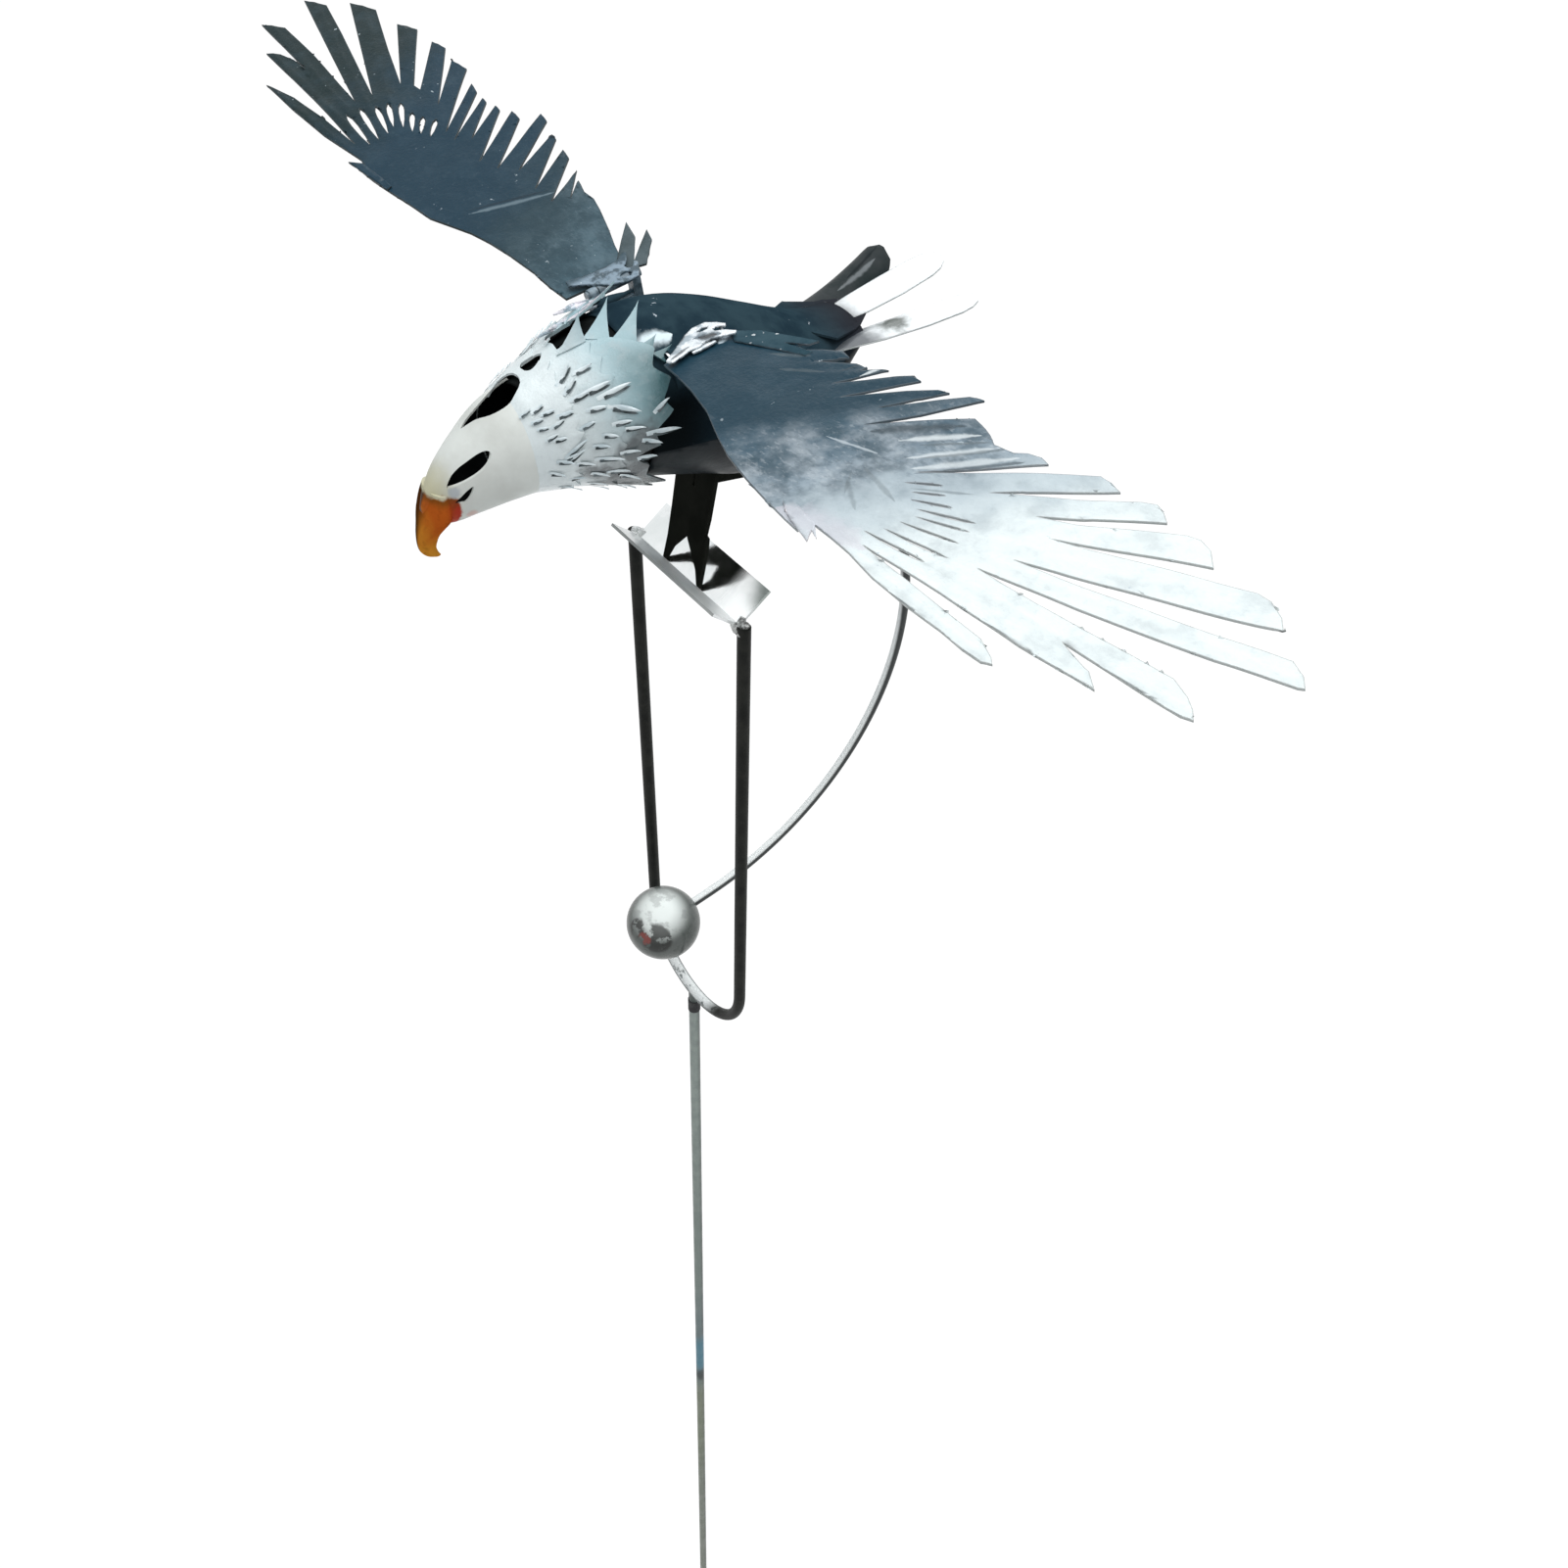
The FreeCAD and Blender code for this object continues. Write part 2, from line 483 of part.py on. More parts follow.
def make_tail(body_solid):
    roof = [(-54, 394.2), (-64, 391.4), (-76, 389.8), (-97, 392.2)]
    sheet = sidewise(roof + [(f, z + SKIN * 1.2) for f, z in reversed(roof)], 34)
    plan = [(-55, 12), (-63, 18), (-79, 12.5), (-92, 3), (-94.5, 0)]
    cover = biggest(sheet.common(downward(plan, 370)).cut(body_solid))
    NODES["tail_cover"] = cover
    middle = biggest(gutter((-66, 0, 388.5), (-130, 0, 402.5), 17, 26).cut([body_solid, cover]))
    left = gutter((-62, 13, 386.8), (-127, 27, 397), 17, 22, -8)
    right = gutter((-61, -13, 386.8), (-121, -26, 398), 21, 9.2, 6)
    NODES["tail_feather_middle"] = middle
    NODES["tail_feather_left"] = biggest(left.cut([body_solid, cover, middle]))
    NODES["tail_feather_right"] = biggest(right.cut([body_solid, cover, middle]))


# ================================================================ legs, weight
def make_legs(body_solid):
    top = 352.0 - AXIS_UP
    tip, half = TOE_W / 2, TOE_HALF
    outline = [(-half - 0.6, top), (-half + 0.1, 25), (-half + 0.1, 11), (-half - tip, 0),
               (-half + tip, 0), (-half + 4, 7), (-0.4, 17), (0.8, 17), (half - 3, 6),
               (half - tip, 0), (half + tip, 0), (half + 1.6, 17), (half + 0.9, 22.6),
               (half - 0.7, 23.2), (half + 0.1, 31), (half + 0.6, top)]
    slit = [(-0.8, 40.2), (0.6, 40.2), (0.3, 46), (-0.9, 46)]
    legs = upright(outline, PLATE_T / 2).cut(upright(slit, PLATE_T))
    for side in (-1, 1):
        toe = Part.makeCylinder(TOE_R, TOE_W, V(side * half - tip, 0, 0), V(1, 0, 0))
        legs = legs.fuse(toe)
    legs.rotate(V(0, 0, 0), V(1, 0, 0), -LEAN)
    legs.translate(at(0, LEG_SHIFT, AXIS_UP))
    NODES["leg_plate"] = biggest(legs.cut(body_solid))


def make_weight(body_solid):
    def heading(turned):
        angle = math.radians(SEAT_DIP + turned)
        return V(0, math.cos(angle), -math.sin(angle))

    def bend(start, radius, before, after):
        """Arc that turns from one heading to the next, and its end."""
        hub = start.add(heading(before + 90).multiply(radius))
        rim = [hub.sub(heading(t + 90).multiply(radius)) for t in ((before + after) / 2, after)]
        return Part.Arc(start, *rim).toShape(), rim[1]

    total = HOOK_TURN + ARC_TURN
    seat = at(SEAT_FWD, 0, SEAT_UP)
    a = seat.add(heading(0).multiply(UPPER_RUN))
    hook, b = bend(a, HOOK_R, 0, HOOK_TURN)
    arc, c = bend(b, ARC_R, HOOK_TURN, total)
    ball_centre = c.add(heading(total).multiply(LOWER_RUN))
    inside = c.add(heading(total).multiply(LOWER_RUN - BALL_R * 0.6))
    rod = bent_rod([line(seat, a), hook, arc, line(c, inside)], WEIGHT_ROD_R)
    rod = biggest(rod.cut(body_solid))
    NODES["counterweight_rod"] = rod
    NODES["counterweight_ball"] = biggest(Part.makeSphere(BALL_R, ball_centre).cut(rod))
    # the keel strap runs from the leg plate back under the rod's seat
    low = SEAT_UP - 2.7
    keel = sidewise([(-12, low + 20.6), (-14.5, low + 3.1), (SEAT_FWD + 17.6, low + 0.2),
                     (SEAT_FWD + 2.6, low + 3), (SEAT_FWD - 13.4, low + 13.6),
                     (SEAT_FWD - 13.4, low + 34.6), (-30, low + 34.6)], KEEL_T / 2)
    NODES["keel_strap"] = biggest(keel.cut([body_solid, rod, NODES["leg_plate"]]))


# ================================================================ wings
def wing_point(fwd, left):
    """Wing coordinates: outward from the hinge, back from it."""
    return (left - HINGE_X, HINGE_FWD - fwd)


def wing_outline(cut):
    outline = [wing_point(*p) for p in cut["leading"]]
    for feather in cut["feathers"]:
        outline += [wing_point(*p) for p in feather]
    outline += [wing_point(*p) for p in cut["trailing"]]
    y, x = BARREL_HALF - 0.3, BARREL_R + 0.8
    return outline + [(x, y), (BARREL_R / 3, y), (BARREL_R / 3, -y), (x, -y)]


def make_wing(cut):
    outline, span, along = wing_outline(cut), V(1, 0, 0), V(0, 1, 0)
    blank = plate(outline, 30, -20)
    slots = [plate(lens(wing_point(*a), wing_point(*b), cut["slot width"]), 30, -20)
             for a, b in cut["slots"]]
    origin = V(-20, CAMBER_Y, -CAMBER_R)
    above = Part.makeCylinder(CAMBER_R + SKIN / 2, 400, origin, span)
    under = Part.makeCylinder(CAMBER_R - SKIN / 2, 400, origin, span)
    filled = blank.common(above)
    sheet = filled.cut(under).cut(slots)

    barrel = Part.makeCylinder(BARREL_R, 2 * BARREL_HALF, V(0, -BARREL_HALF, 0), along)
    wing = {"wing_sheet": biggest(sheet.cut(barrel))}
    wing["wing_barrel"] = barrel.cut(
        Part.makeCylinder(HINGE_PIN_R + HINGE_RUN, BIG, V(0, -BIG / 2, 0), along))

    tab_low = BARREL_R - 0.2
    tab = plate(TAB, TAB_T, tab_low).fuse(block(4.2, 8.2, -5.5, 4.5, -1, tab_low))
    room = KNUCKLE_LEN + KNUCKLE_GAP + 1
    for y in (BARREL_HALF, -BARREL_HALF - room):
        tab = tab.cut(Part.makeCylinder(BARREL_R + 0.35, room, V(0, y, 0), along))
    wing["root_tab"] = biggest(tab.cut([plate(TAB_EYE, BIG), barrel, filled]))
    wrist = plate([wing_point(*p) for p in cut["wrist"]], 6, -4)
    lift = Part.makeCylinder(CAMBER_R + SKIN * 1.4, 400, origin, span)
    wing["wrist_feather"] = biggest(wrist.common(lift).cut([filled, under]))
    pair = plate([wing_point(*p) for p in cut["root pair"]], SKIN, 0.2)
    wing["root_feathers"] = biggest(pair.cut(sheet))

    # bracket on the shoulder: two knuckles on a saddle, and the wing's rest
    inner, outer = BARREL_HALF + KNUCKLE_GAP, BARREL_HALF + KNUCKLE_GAP + KNUCKLE_LEN
    deep, saddle_top = 18.0, -3 * BARREL_R
    bracket = block(-BARREL_R, BARREL_R, -outer, outer, -deep, saddle_top)
    for y in (-outer, inner):
        bracket = bracket.fuse([
            Part.makeCylinder(BARREL_R, KNUCKLE_LEN, V(0, y, 0), along),
            block(-BARREL_R, BARREL_R, y, y + KNUCKLE_LEN, saddle_top, 0)])
    rest_top = -SKIN / 2 - STOP_GAP
    bracket = bracket.fuse(block(BARREL_R / 2, 8.5, inner, outer, rest_top - 1.2, rest_top))
    bracket = bracket.cut(Part.makeCylinder(HINGE_PIN_R, BIG, V(0, -BIG / 2, 0), along))
    pin = Part.makeCylinder(HINGE_PIN_R, 2 * outer, V(0, -outer, 0), along)
    for y in (-outer - 1, outer):
        pin = pin.fuse(Part.makeCylinder(HINGE_PIN_R * 1.7, 1, V(0, y, 0), along))
    return wing, {"shoulder_bracket": bracket, "hinge_pin": pin}


def place_wings(body_solid):
    hinge = FreeCAD.Placement(at(HINGE_FWD, HINGE_X, HINGE_UP),
                              FreeCAD.Rotation(V(1, 0, 0), PITCH))
    raised = hinge.multiply(FreeCAD.Placement(
        V(0, 0, 0), FreeCAD.Rotation(V(0, 1, 0), -DIHEDRAL)))
    for side, cut in (("left_", LEFT_WING), ("right_", RIGHT_WING)):
        wing, fixed = make_wing(cut)
        for parts, where in ((wing, raised), (fixed, hinge)):
            for name, shape in parts.items():
                shape.Placement = where
                if name == "shoulder_bracket":
                    shape = biggest(shape.cut(body_solid))
                NODES[side + name] = shape if side == "left_" else mirrored(shape)


make_fork(make_stake())
standing = set(NODES)
body, neck, head, seam_gaps = make_body()
make_capes(body, neck, head, seam_gaps)
make_tail(body)
make_legs(body)
make_weight(body)
place_wings(body)
for node, solid in NODES.items():
    if node not in standing:
        solid = solid.translated(V(BIRD_X, 0, 0))
    solid.exportStep("parts/" + node + ".step")
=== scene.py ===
# %% [markdown]
# # A rocking eagle on a garden stake
#
# This lesson dresses a small painted sheet-metal eagle that rocks on a pointed stake. The hard
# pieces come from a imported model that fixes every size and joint. Here they get smooth skins,
# feathers, paint and worn steel, and then a plain studio to stand in.

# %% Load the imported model
import math
import random

import bmesh
import bpy
from mathutils import Matrix, Vector, noise


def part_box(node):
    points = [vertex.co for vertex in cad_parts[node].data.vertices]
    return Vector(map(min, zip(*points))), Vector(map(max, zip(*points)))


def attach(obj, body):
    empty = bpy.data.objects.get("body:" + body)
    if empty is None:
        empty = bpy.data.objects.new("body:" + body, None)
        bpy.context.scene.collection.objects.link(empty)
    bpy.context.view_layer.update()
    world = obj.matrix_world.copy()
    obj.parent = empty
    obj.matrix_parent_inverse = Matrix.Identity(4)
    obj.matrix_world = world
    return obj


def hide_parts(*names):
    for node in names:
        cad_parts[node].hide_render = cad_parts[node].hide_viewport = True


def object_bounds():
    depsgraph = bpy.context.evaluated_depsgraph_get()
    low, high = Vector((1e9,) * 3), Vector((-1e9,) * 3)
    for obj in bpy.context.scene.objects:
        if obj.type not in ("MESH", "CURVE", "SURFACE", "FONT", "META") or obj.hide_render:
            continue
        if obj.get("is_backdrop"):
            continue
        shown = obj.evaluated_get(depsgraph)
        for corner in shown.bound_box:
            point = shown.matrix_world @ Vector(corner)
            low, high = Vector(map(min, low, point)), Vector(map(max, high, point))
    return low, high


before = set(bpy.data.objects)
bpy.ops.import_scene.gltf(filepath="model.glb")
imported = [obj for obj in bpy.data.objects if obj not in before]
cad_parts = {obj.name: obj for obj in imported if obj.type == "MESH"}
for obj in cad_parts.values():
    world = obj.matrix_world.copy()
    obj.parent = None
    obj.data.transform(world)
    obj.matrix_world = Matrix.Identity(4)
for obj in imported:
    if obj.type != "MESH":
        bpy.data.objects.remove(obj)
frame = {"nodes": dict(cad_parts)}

nodes, cad_box = frame["nodes"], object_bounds()

# %% [markdown]
# ## One way to say where things are
#
# On the bird it is easiest to speak of how far forward, how far to its left and how high above
# the stake's top a point is, in millimetres. One small function turns that into metres in the
# model's frame, so each table below reads like a tape measure.

# %% Bird coordinates
MM = 0.001
STAKE_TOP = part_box("swivel_bush")[0].z / MM + 2.15
HEAD_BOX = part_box("head_shell")
MIDLINE = (HEAD_BOX[0].x + HEAD_BOX[1].x) / 2 / MM


def spot(fwd, left, up):
    """A point on the bird, from millimetres to the frame's metres."""
    return Vector((left + MIDLINE, -fwd, STAKE_TOP + up)) * MM


def up_at(height):
    """A level on the bird, from millimetres above the stake's top to metres in the frame."""
    return (STAKE_TOP + height) * MM


def side_at(left):
    """A distance to the bird's left, from millimetres to metres in the frame."""
    return (MIDLINE + left) * MM


print("stake top %.1f mm, bird's midline x %.2f mm" % (STAKE_TOP, MIDLINE))

# %% [markdown]
# ## The camera
#
# The eagle is seen from above its left shoulder, as a person standing over a flower bed would
# see it. The lens and the slight roll are set once, and no later step moves them.

# %% Camera
LENS_MM, SENSOR_MM = 34.93, 36.0
CAMERA_AT = Vector((431.5, -286.2, 1584.2)) * MM
LOOK_TURN, LOOK_DIP, ROLL = math.radians(51.517), math.radians(44.556), math.radians(2.532)

look = Vector((-math.sin(LOOK_TURN) * math.cos(LOOK_DIP),
               math.cos(LOOK_TURN) * math.cos(LOOK_DIP), -math.sin(LOOK_DIP)))
level = Vector((math.cos(LOOK_TURN), math.sin(LOOK_TURN), 0))
above = level.cross(look)
right = level * math.cos(ROLL) + above * math.sin(ROLL)
above = right.cross(look)
camera_data = bpy.data.cameras.new("camera")
camera_data.lens, camera_data.sensor_width = LENS_MM, SENSOR_MM
camera_data.clip_start, camera_data.clip_end = 0.01, 100
camera = bpy.data.objects.new("camera", camera_data)
camera.matrix_world = Matrix.Translation(CAMERA_AT) @ Matrix(
    (right, above, -look)).transposed().to_4x4()
bpy.context.scene.collection.objects.link(camera)
bpy.context.scene.camera = camera
print("camera looks", tuple(round(v, 3) for v in look))

# %% [markdown]
# ## Wiring materials
#
# A procedural material is a small circuit. Adding and linking its nodes by hand is wordy, so
# a few helpers do it: they put down any node with its inputs, do arithmetic, make masks from
# a place, blend two colours, and build a node group or place it in a material.

# %% Node helpers
def put(tree, kind, inputs=(), **settings):
    """Add a shader node; inputs may be numbers, colours or other sockets."""
    made = tree.nodes.new("ShaderNode" + kind)
    for key, value in settings.items():
        setattr(made, key, value)
    for key, value in dict(inputs).items():
        if isinstance(value, bpy.types.NodeSocket):
            tree.links.new(value, made.inputs[key])
        else:
            made.inputs[key].default_value = value
    return made


def calc(tree, operation, a, b=0.0, clamp=False):
    return put(tree, "Math", {0: a, 1: b}, operation=operation, use_clamp=clamp).outputs[0]


def times(tree, a, b):
    return calc(tree, "MULTIPLY", a, b)


def flipped(tree, mask):
    return calc(tree, "SUBTRACT", 1, mask)


print("arithmetic", [f.__name__ for f in (put, calc, times, flipped)])

# %% Masks, places and blends
def spread(tree, value, low, high, smooth=True):
    """0 at low, 1 at high, and held beyond them."""
    kind = "SMOOTHSTEP" if smooth else "LINEAR"
    return put(tree, "MapRange", {0: value, 1: low, 2: high, 3: 0.0, 4: 1.0},
               interpolation_type=kind).outputs[0]


def below(tree, value, low, high):
    """1 at low, 0 at high, and held beyond them."""
    return flipped(tree, spread(tree, value, low, high))


def object_place(tree):
    return put(tree, "TexCoord").outputs["Object"]


def object_axes(tree):
    """The place on the object as three numbers: x, y and z."""
    return put(tree, "SeparateXYZ", {0: object_place(tree)}).outputs


def mix(tree, share, a, b, blend_type="MIX"):
    def full(colour):
        return colour if isinstance(colour, bpy.types.NodeSocket) else (*colour, 1.0)
    return put(tree, "Mix", {0: share, 6: full(a), 7: full(b)}, data_type="RGBA",
               blend_type=blend_type, clamp_factor=True).outputs[2]


print("masks and blends", [f.__name__ for f in (spread, below, object_place, object_axes, mix)])

# %% Groups with named sockets
def new_group(name, inputs, outputs):
    tree = bpy.data.node_groups.new(name, "ShaderNodeTree")
    for label, kind, value in inputs:
        socket = tree.interface.new_socket(label, in_out="INPUT", socket_type="NodeSocket" + kind)
        socket.default_value = value
    for label, kind in outputs:
        tree.interface.new_socket(label, in_out="OUTPUT", socket_type="NodeSocket" + kind)
    return tree, tree.nodes.new("NodeGroupInput").outputs, tree.nodes.new("NodeGroupOutput").inputs


def use(tree, group, **inputs):
    made = tree.nodes.new("ShaderNodeGroup")
    made.node_tree = group
    for key, value in inputs.items():
        key = key.replace("_", " ")
        if isinstance(value, bpy.types.NodeSocket):
            tree.links.new(value, made.inputs[key])
        else:
            made.inputs[key].default_value = value
    return made.outputs


print("groups are made with", new_group.__name__, "and placed with", use.__name__)

# %% [markdown]
# ## Effects that several finishes share
#
# Sprayed paint on hand-hammered sheet is never even. Four effects cover most of it: a soft
# cloudiness, small pale scuffs, fine streaks along the work, and the shallow dents that make a
# highlight wander. Each is a node group, placed in a material with its own sizes.

# %% Shared node groups
def noise_in(tree, where, scale, detail=3.0, rough=0.55, kind="Fac"):
    return put(tree, "TexNoise", {"Vector": where, "Scale": scale, "Detail": detail,
                                  "Roughness": rough}).outputs[kind]


def wobble(tree, where, scale, detail=3.0):
    """Noise that strays to both sides of zero."""
    return calc(tree, "SUBTRACT", noise_in(tree, where, scale, detail), 0.5)


def stretched(tree, turn, sizes):
    """Object coordinates turned and squeezed, so that a pattern runs one way."""
    return put(tree, "Mapping", {"Vector": object_place(tree), "Rotation": turn,
                                 "Scale": sizes}).outputs[0]


clouds, ins, outs = new_group("soft clouds", [
    ("Size", "Float", 60.0), ("Low", "Float", 0.35), ("High", "Float", 0.65),
    ("Turn", "Vector", (0, 0, 0)), ("Squeeze", "Vector", (1, 1, 1))], [("Mask", "Float")])
where = stretched(clouds, ins["Turn"], ins["Squeeze"])
clouds.links.new(spread(clouds, noise_in(clouds, where, ins["Size"], 4.0, 0.6),
                        ins["Low"], ins["High"]), outs["Mask"])

scuffs, ins, outs = new_group("pale scuffs", [("Size", "Float", 300.0), ("Amount", "Float", 0.5)],
                              [("Mask", "Float")])
where = put(scuffs, "TexCoord").outputs["Object"]
small = noise_in(scuffs, where, ins["Size"], 2.0, 0.7)
patch = spread(scuffs, noise_in(scuffs, where, 38.0, 2.0), 0.48, 0.66)
limit = calc(scuffs, "SUBTRACT", 0.78, calc(scuffs, "MULTIPLY", ins["Amount"], 0.16))
spots = spread(scuffs, small, limit, calc(scuffs, "ADD", limit, 0.05))
scuffs.links.new(calc(scuffs, "MULTIPLY", spots, patch, True), outs["Mask"])

dents, ins, outs = new_group("hammered sheet", [("Size", "Float", 70.0), ("Fine", "Float", 0.25)],
                             [("Height", "Float")])
where = put(dents, "TexCoord").outputs["Object"]
wide = noise_in(dents, where, ins["Size"], 1.5, 0.4)
fine = noise_in(dents, where, calc(dents, "MULTIPLY", ins["Size"], 9.0), 3.0, 0.6)
dents.links.new(calc(dents, "ADD", wide, calc(dents, "MULTIPLY", fine, ins["Fine"])),
                outs["Height"])

fade, ins, outs = new_group("fade along", [("Direction", "Vector", (1, 0, 0)),
                                           ("Start", "Float", 0.0), ("End", "Float", 0.1),
                                           ("Waver", "Float", 0.01), ("Waver Size", "Float", 60.0)],
                            [("Mask", "Float")])
where = put(fade, "TexCoord").outputs["Object"]
along = put(fade, "VectorMath", {0: where, 1: ins["Direction"]}, operation="DOT_PRODUCT").outputs[1]
wander = calc(fade, "SUBTRACT", noise_in(fade, where, ins["Waver Size"], 4.0, 0.65), 0.5)
along = calc(fade, "ADD", along, calc(fade, "MULTIPLY", wander, ins["Waver"]))
fade.links.new(spread(fade, along, ins["Start"], ins["End"]), outs["Mask"])
print("groups", [g.name for g in bpy.data.node_groups])

# %% [markdown]
# ## Brush strokes
#
# A few marks on the sheet have a definite place: a bare scrape, a drip, a dark line. Each is a
# tapered band between two points. The group measures how far a place lies from the line that
# joins them, and its edge wavers so that it looks drawn by hand.

# %% Brush stroke group
stroke, ins, outs = new_group("brush stroke", [
    ("From", "Vector", (0, 0, 0)), ("To", "Vector", (0.01, 0, 0)), ("Width", "Float", 0.002),
    ("Waver", "Float", 0.0)], [("Mask", "Float")])


def vector(tree, operation, a, b):
    return put(tree, "VectorMath", {0: a, 1: b}, operation=operation).outputs


where = put(stroke, "TexCoord").outputs["Object"]
flat = vector(stroke, "MULTIPLY", where, (1, 1, 0))[0]
reach = vector(stroke, "SUBTRACT", flat, ins["From"])[0]
run = vector(stroke, "SUBTRACT", ins["To"], ins["From"])[0]
share = calc(stroke, "DIVIDE", vector(stroke, "DOT_PRODUCT", reach, run)[1],
             vector(stroke, "DOT_PRODUCT", run, run)[1], True)
scale = put(stroke, "VectorMath", {0: run, "Scale": share}, operation="SCALE").outputs[0]
gap = vector(stroke, "DISTANCE", reach, scale)[1]
gap = calc(stroke, "ADD", gap, times(stroke, ins["Waver"], ins["Width"]))
ends = calc(stroke, "ABSOLUTE", calc(stroke, "SUBTRACT", times(stroke, share, 2), 1))
taper = flipped(stroke, calc(stroke, "POWER", ends, 3))
wide = calc(stroke, "ADD", times(stroke, ins["Width"], taper), 0.05 * MM)
near = spread(stroke, gap, times(stroke, wide, 0.2), wide)
stroke.links.new(flipped(stroke, near), outs["Mask"])
print("stroke group", len(stroke.nodes), "nodes")

# %% [markdown]
# ## Paint and steel
#
# Every finish ends in one Principled shader. Its colour and roughness come from the groups and
# its bump from the dents; the numbers that don't change over the surface sit on its own sockets.

# %% A finish
def finish(name, colour, rough, bump=0.0, height=None, metallic=0.0, coat=0.0, coat_rough=0.1,
           specular=0.5):
    """A material; colour, rough and height are functions that wire their own nodes."""
    material = bpy.data.materials.new(name)
    material.use_nodes = True
    tree = material.node_tree
    tree.nodes.clear()
    shader = put(tree, "BsdfPrincipled", {"Metallic": metallic, "Coat Weight": coat,
                                          "Coat Roughness": coat_rough,
                                          "Specular IOR Level": specular})
    for socket, value in (("Base Color", colour), ("Roughness", rough)):
        value = value(tree) if callable(value) else value
        if isinstance(value, bpy.types.NodeSocket):
            tree.links.new(value, shader.inputs[socket])
        else:
            shader.inputs[socket].default_value = (*value, 1) if socket == "Base Color" else value
    if bump:
        high = height(tree) if height else use(tree, dents, Size=70.0, Fine=0.25)["Height"]
        relief = put(tree, "Bump", {"Strength": bump, "Distance": 0.002, "Height": high})
        tree.links.new(relief.outputs[0], shader.inputs["Normal"])
    out = tree.nodes.new("ShaderNodeOutputMaterial")
    tree.links.new(shader.outputs[0], out.inputs[0])
    return material


def speckled(base, other, size=60.0, low=0.35, high=0.65, pale=None, amount=0.5, grit=300.0):
    """Two colours in soft clouds, with scuffs of a third."""
    def colour(tree):
        out = mix(tree, use(tree, clouds, Size=size, Low=low, High=high)["Mask"], base, other)
        if pale:
            out = mix(tree, use(tree, scuffs, Size=grit, Amount=amount)["Mask"], out, pale)
        return out
    return colour


def cloudy(low, high, size=90.0):
    """A roughness that drifts between two values."""
    def rough(tree):
        mask = use(tree, clouds, Size=size, Low=0.3, High=0.7)["Mask"]
        return put(tree, "MapRange", {0: mask, 3: low, 4: high}).outputs[0]
    return rough


print("a finish takes", finish.__code__.co_varnames[:finish.__code__.co_argcount])

# %% Marks laid over a colour
def brushed(tree, out, strokes, broken=0.0):
    """Lay strokes over a colour; each is (from, to, width mm, colour, strength) in plan."""
    gaps = times(tree, use(tree, clouds, Size=330.0, Low=0.42, High=0.6)["Mask"], broken)
    whole = flipped(tree, gaps)
    wander = wobble(tree, object_place(tree), 230.0)
    for start, end, width, colour, strength in strokes:
        ends = [Vector((left + MIDLINE, -fwd, 0)) * MM for fwd, left in (start, end)]
        mask = use(tree, stroke, From=ends[0], To=ends[1], Width=width * MM,
                   Waver=wander)["Mask"]
        share = times(tree, times(tree, mask, strength), whole)
        out = mix(tree, share, out, colour)
    return out


def blot(tree, centre, radius, rag=1.0, size=140.0):
    """1 near a point and 0 past a ragged edge; radius in mm."""
    where = object_place(tree)
    gap = put(tree, "VectorMath", {0: where, 1: centre}, operation="DISTANCE").outputs[1]
    stray = times(tree, wobble(tree, where, size), radius * rag * 2 * MM)
    gap = calc(tree, "ADD", gap, stray)
    return below(tree, gap, radius * 0.5 * MM, radius * 1.2 * MM)


def turned(tree, way, low, high):
    """0 to 1 as a surface turns toward a direction."""
    normal = put(tree, "TexCoord").outputs["Normal"]
    aim = put(tree, "VectorMath", {0: normal, 1: Vector(way).normalized()},
              operation="DOT_PRODUCT").outputs[1]
    return spread(tree, aim, low, high)


print("marks", [f.__name__ for f in (brushed, blot, turned)])

# %% [markdown]
# ## Stake and fork
#
# The stake is weathered grey-green with a blue patch part way down and painted shade down one side,
# and the fork is black paint that has worn to bare metal where it bends under the ball, with a
# painted highlight there. Both colours change with the height of a point, so they read the object's
# own coordinates.

# %% Stake and fork finishes
def stake_colour(tree):
    """Grey-green at the top, a blue patch and a black fleck, olive below, with painted shade down
    one side.
    """
    up = object_axes(tree)[2]
    out = speckled((0.3, 0.345, 0.32), (0.24, 0.28, 0.26), 120, pale=(0.4, 0.44, 0.41),
                   amount=0.3)(tree)
    for high, low, shade in ((-60, -300, (0.2, 0.24, 0.22)), (-300, -400, (0.15, 0.195, 0.2)),
                             (-455, -500, (0.19, 0.215, 0.155)),
                             (-560, -700, (0.185, 0.205, 0.17))):
        down = below(tree, up, up_at(low), up_at(high))
        out = mix(tree, down, out, shade)
    # painted shade: the stake is darkened on its side that faces the bird's left and rear
    weather_side = turned(tree, (0.62, 0.78, 0), 0.2, 0.9)
    out = mix(tree, times(tree, weather_side, 0.45), out, (0.05, 0.06, 0.055))
    stain = blot(tree, spot(-1, 11, -428), 30, 0.3, 90.0)
    out = mix(tree, times(tree, stain, 0.8), out, (0.05, 0.2, 0.28))
    fleck = blot(tree, spot(-1, 11, -462), 11, 0.3, 90.0)
    return mix(tree, times(tree, fleck, 0.8), out, (0.012, 0.02, 0.018))


def fork_colour(tree):
    """Black paint, worn to bare metal on the lower bend, with a painted highlight where the bend
    faces up.
    """
    out = speckled((0.011, 0.012, 0.011), (0.024, 0.025, 0.022), 90, pale=(0.09, 0.09, 0.08),
                   amount=0.3)(tree)
    at = object_axes(tree)
    worn = below(tree, at[0], side_at(16), side_at(30))
    worn = times(tree, worn, below(tree, at[2], up_at(34), up_at(50)))
    # painted highlight: the bare bend is pale where it faces up and dark where it faces away
    metal = mix(tree, turned(tree, (0.2, -0.35, 0.9), 0.3, 0.75), (0.12, 0.13, 0.13),
                (0.84, 0.87, 0.86))
    metal = mix(tree, use(tree, clouds, Size=260.0, Low=0.52, High=0.62)["Mask"], metal,
                (0.25, 0.27, 0.27))
    return mix(tree, worn, out, metal)


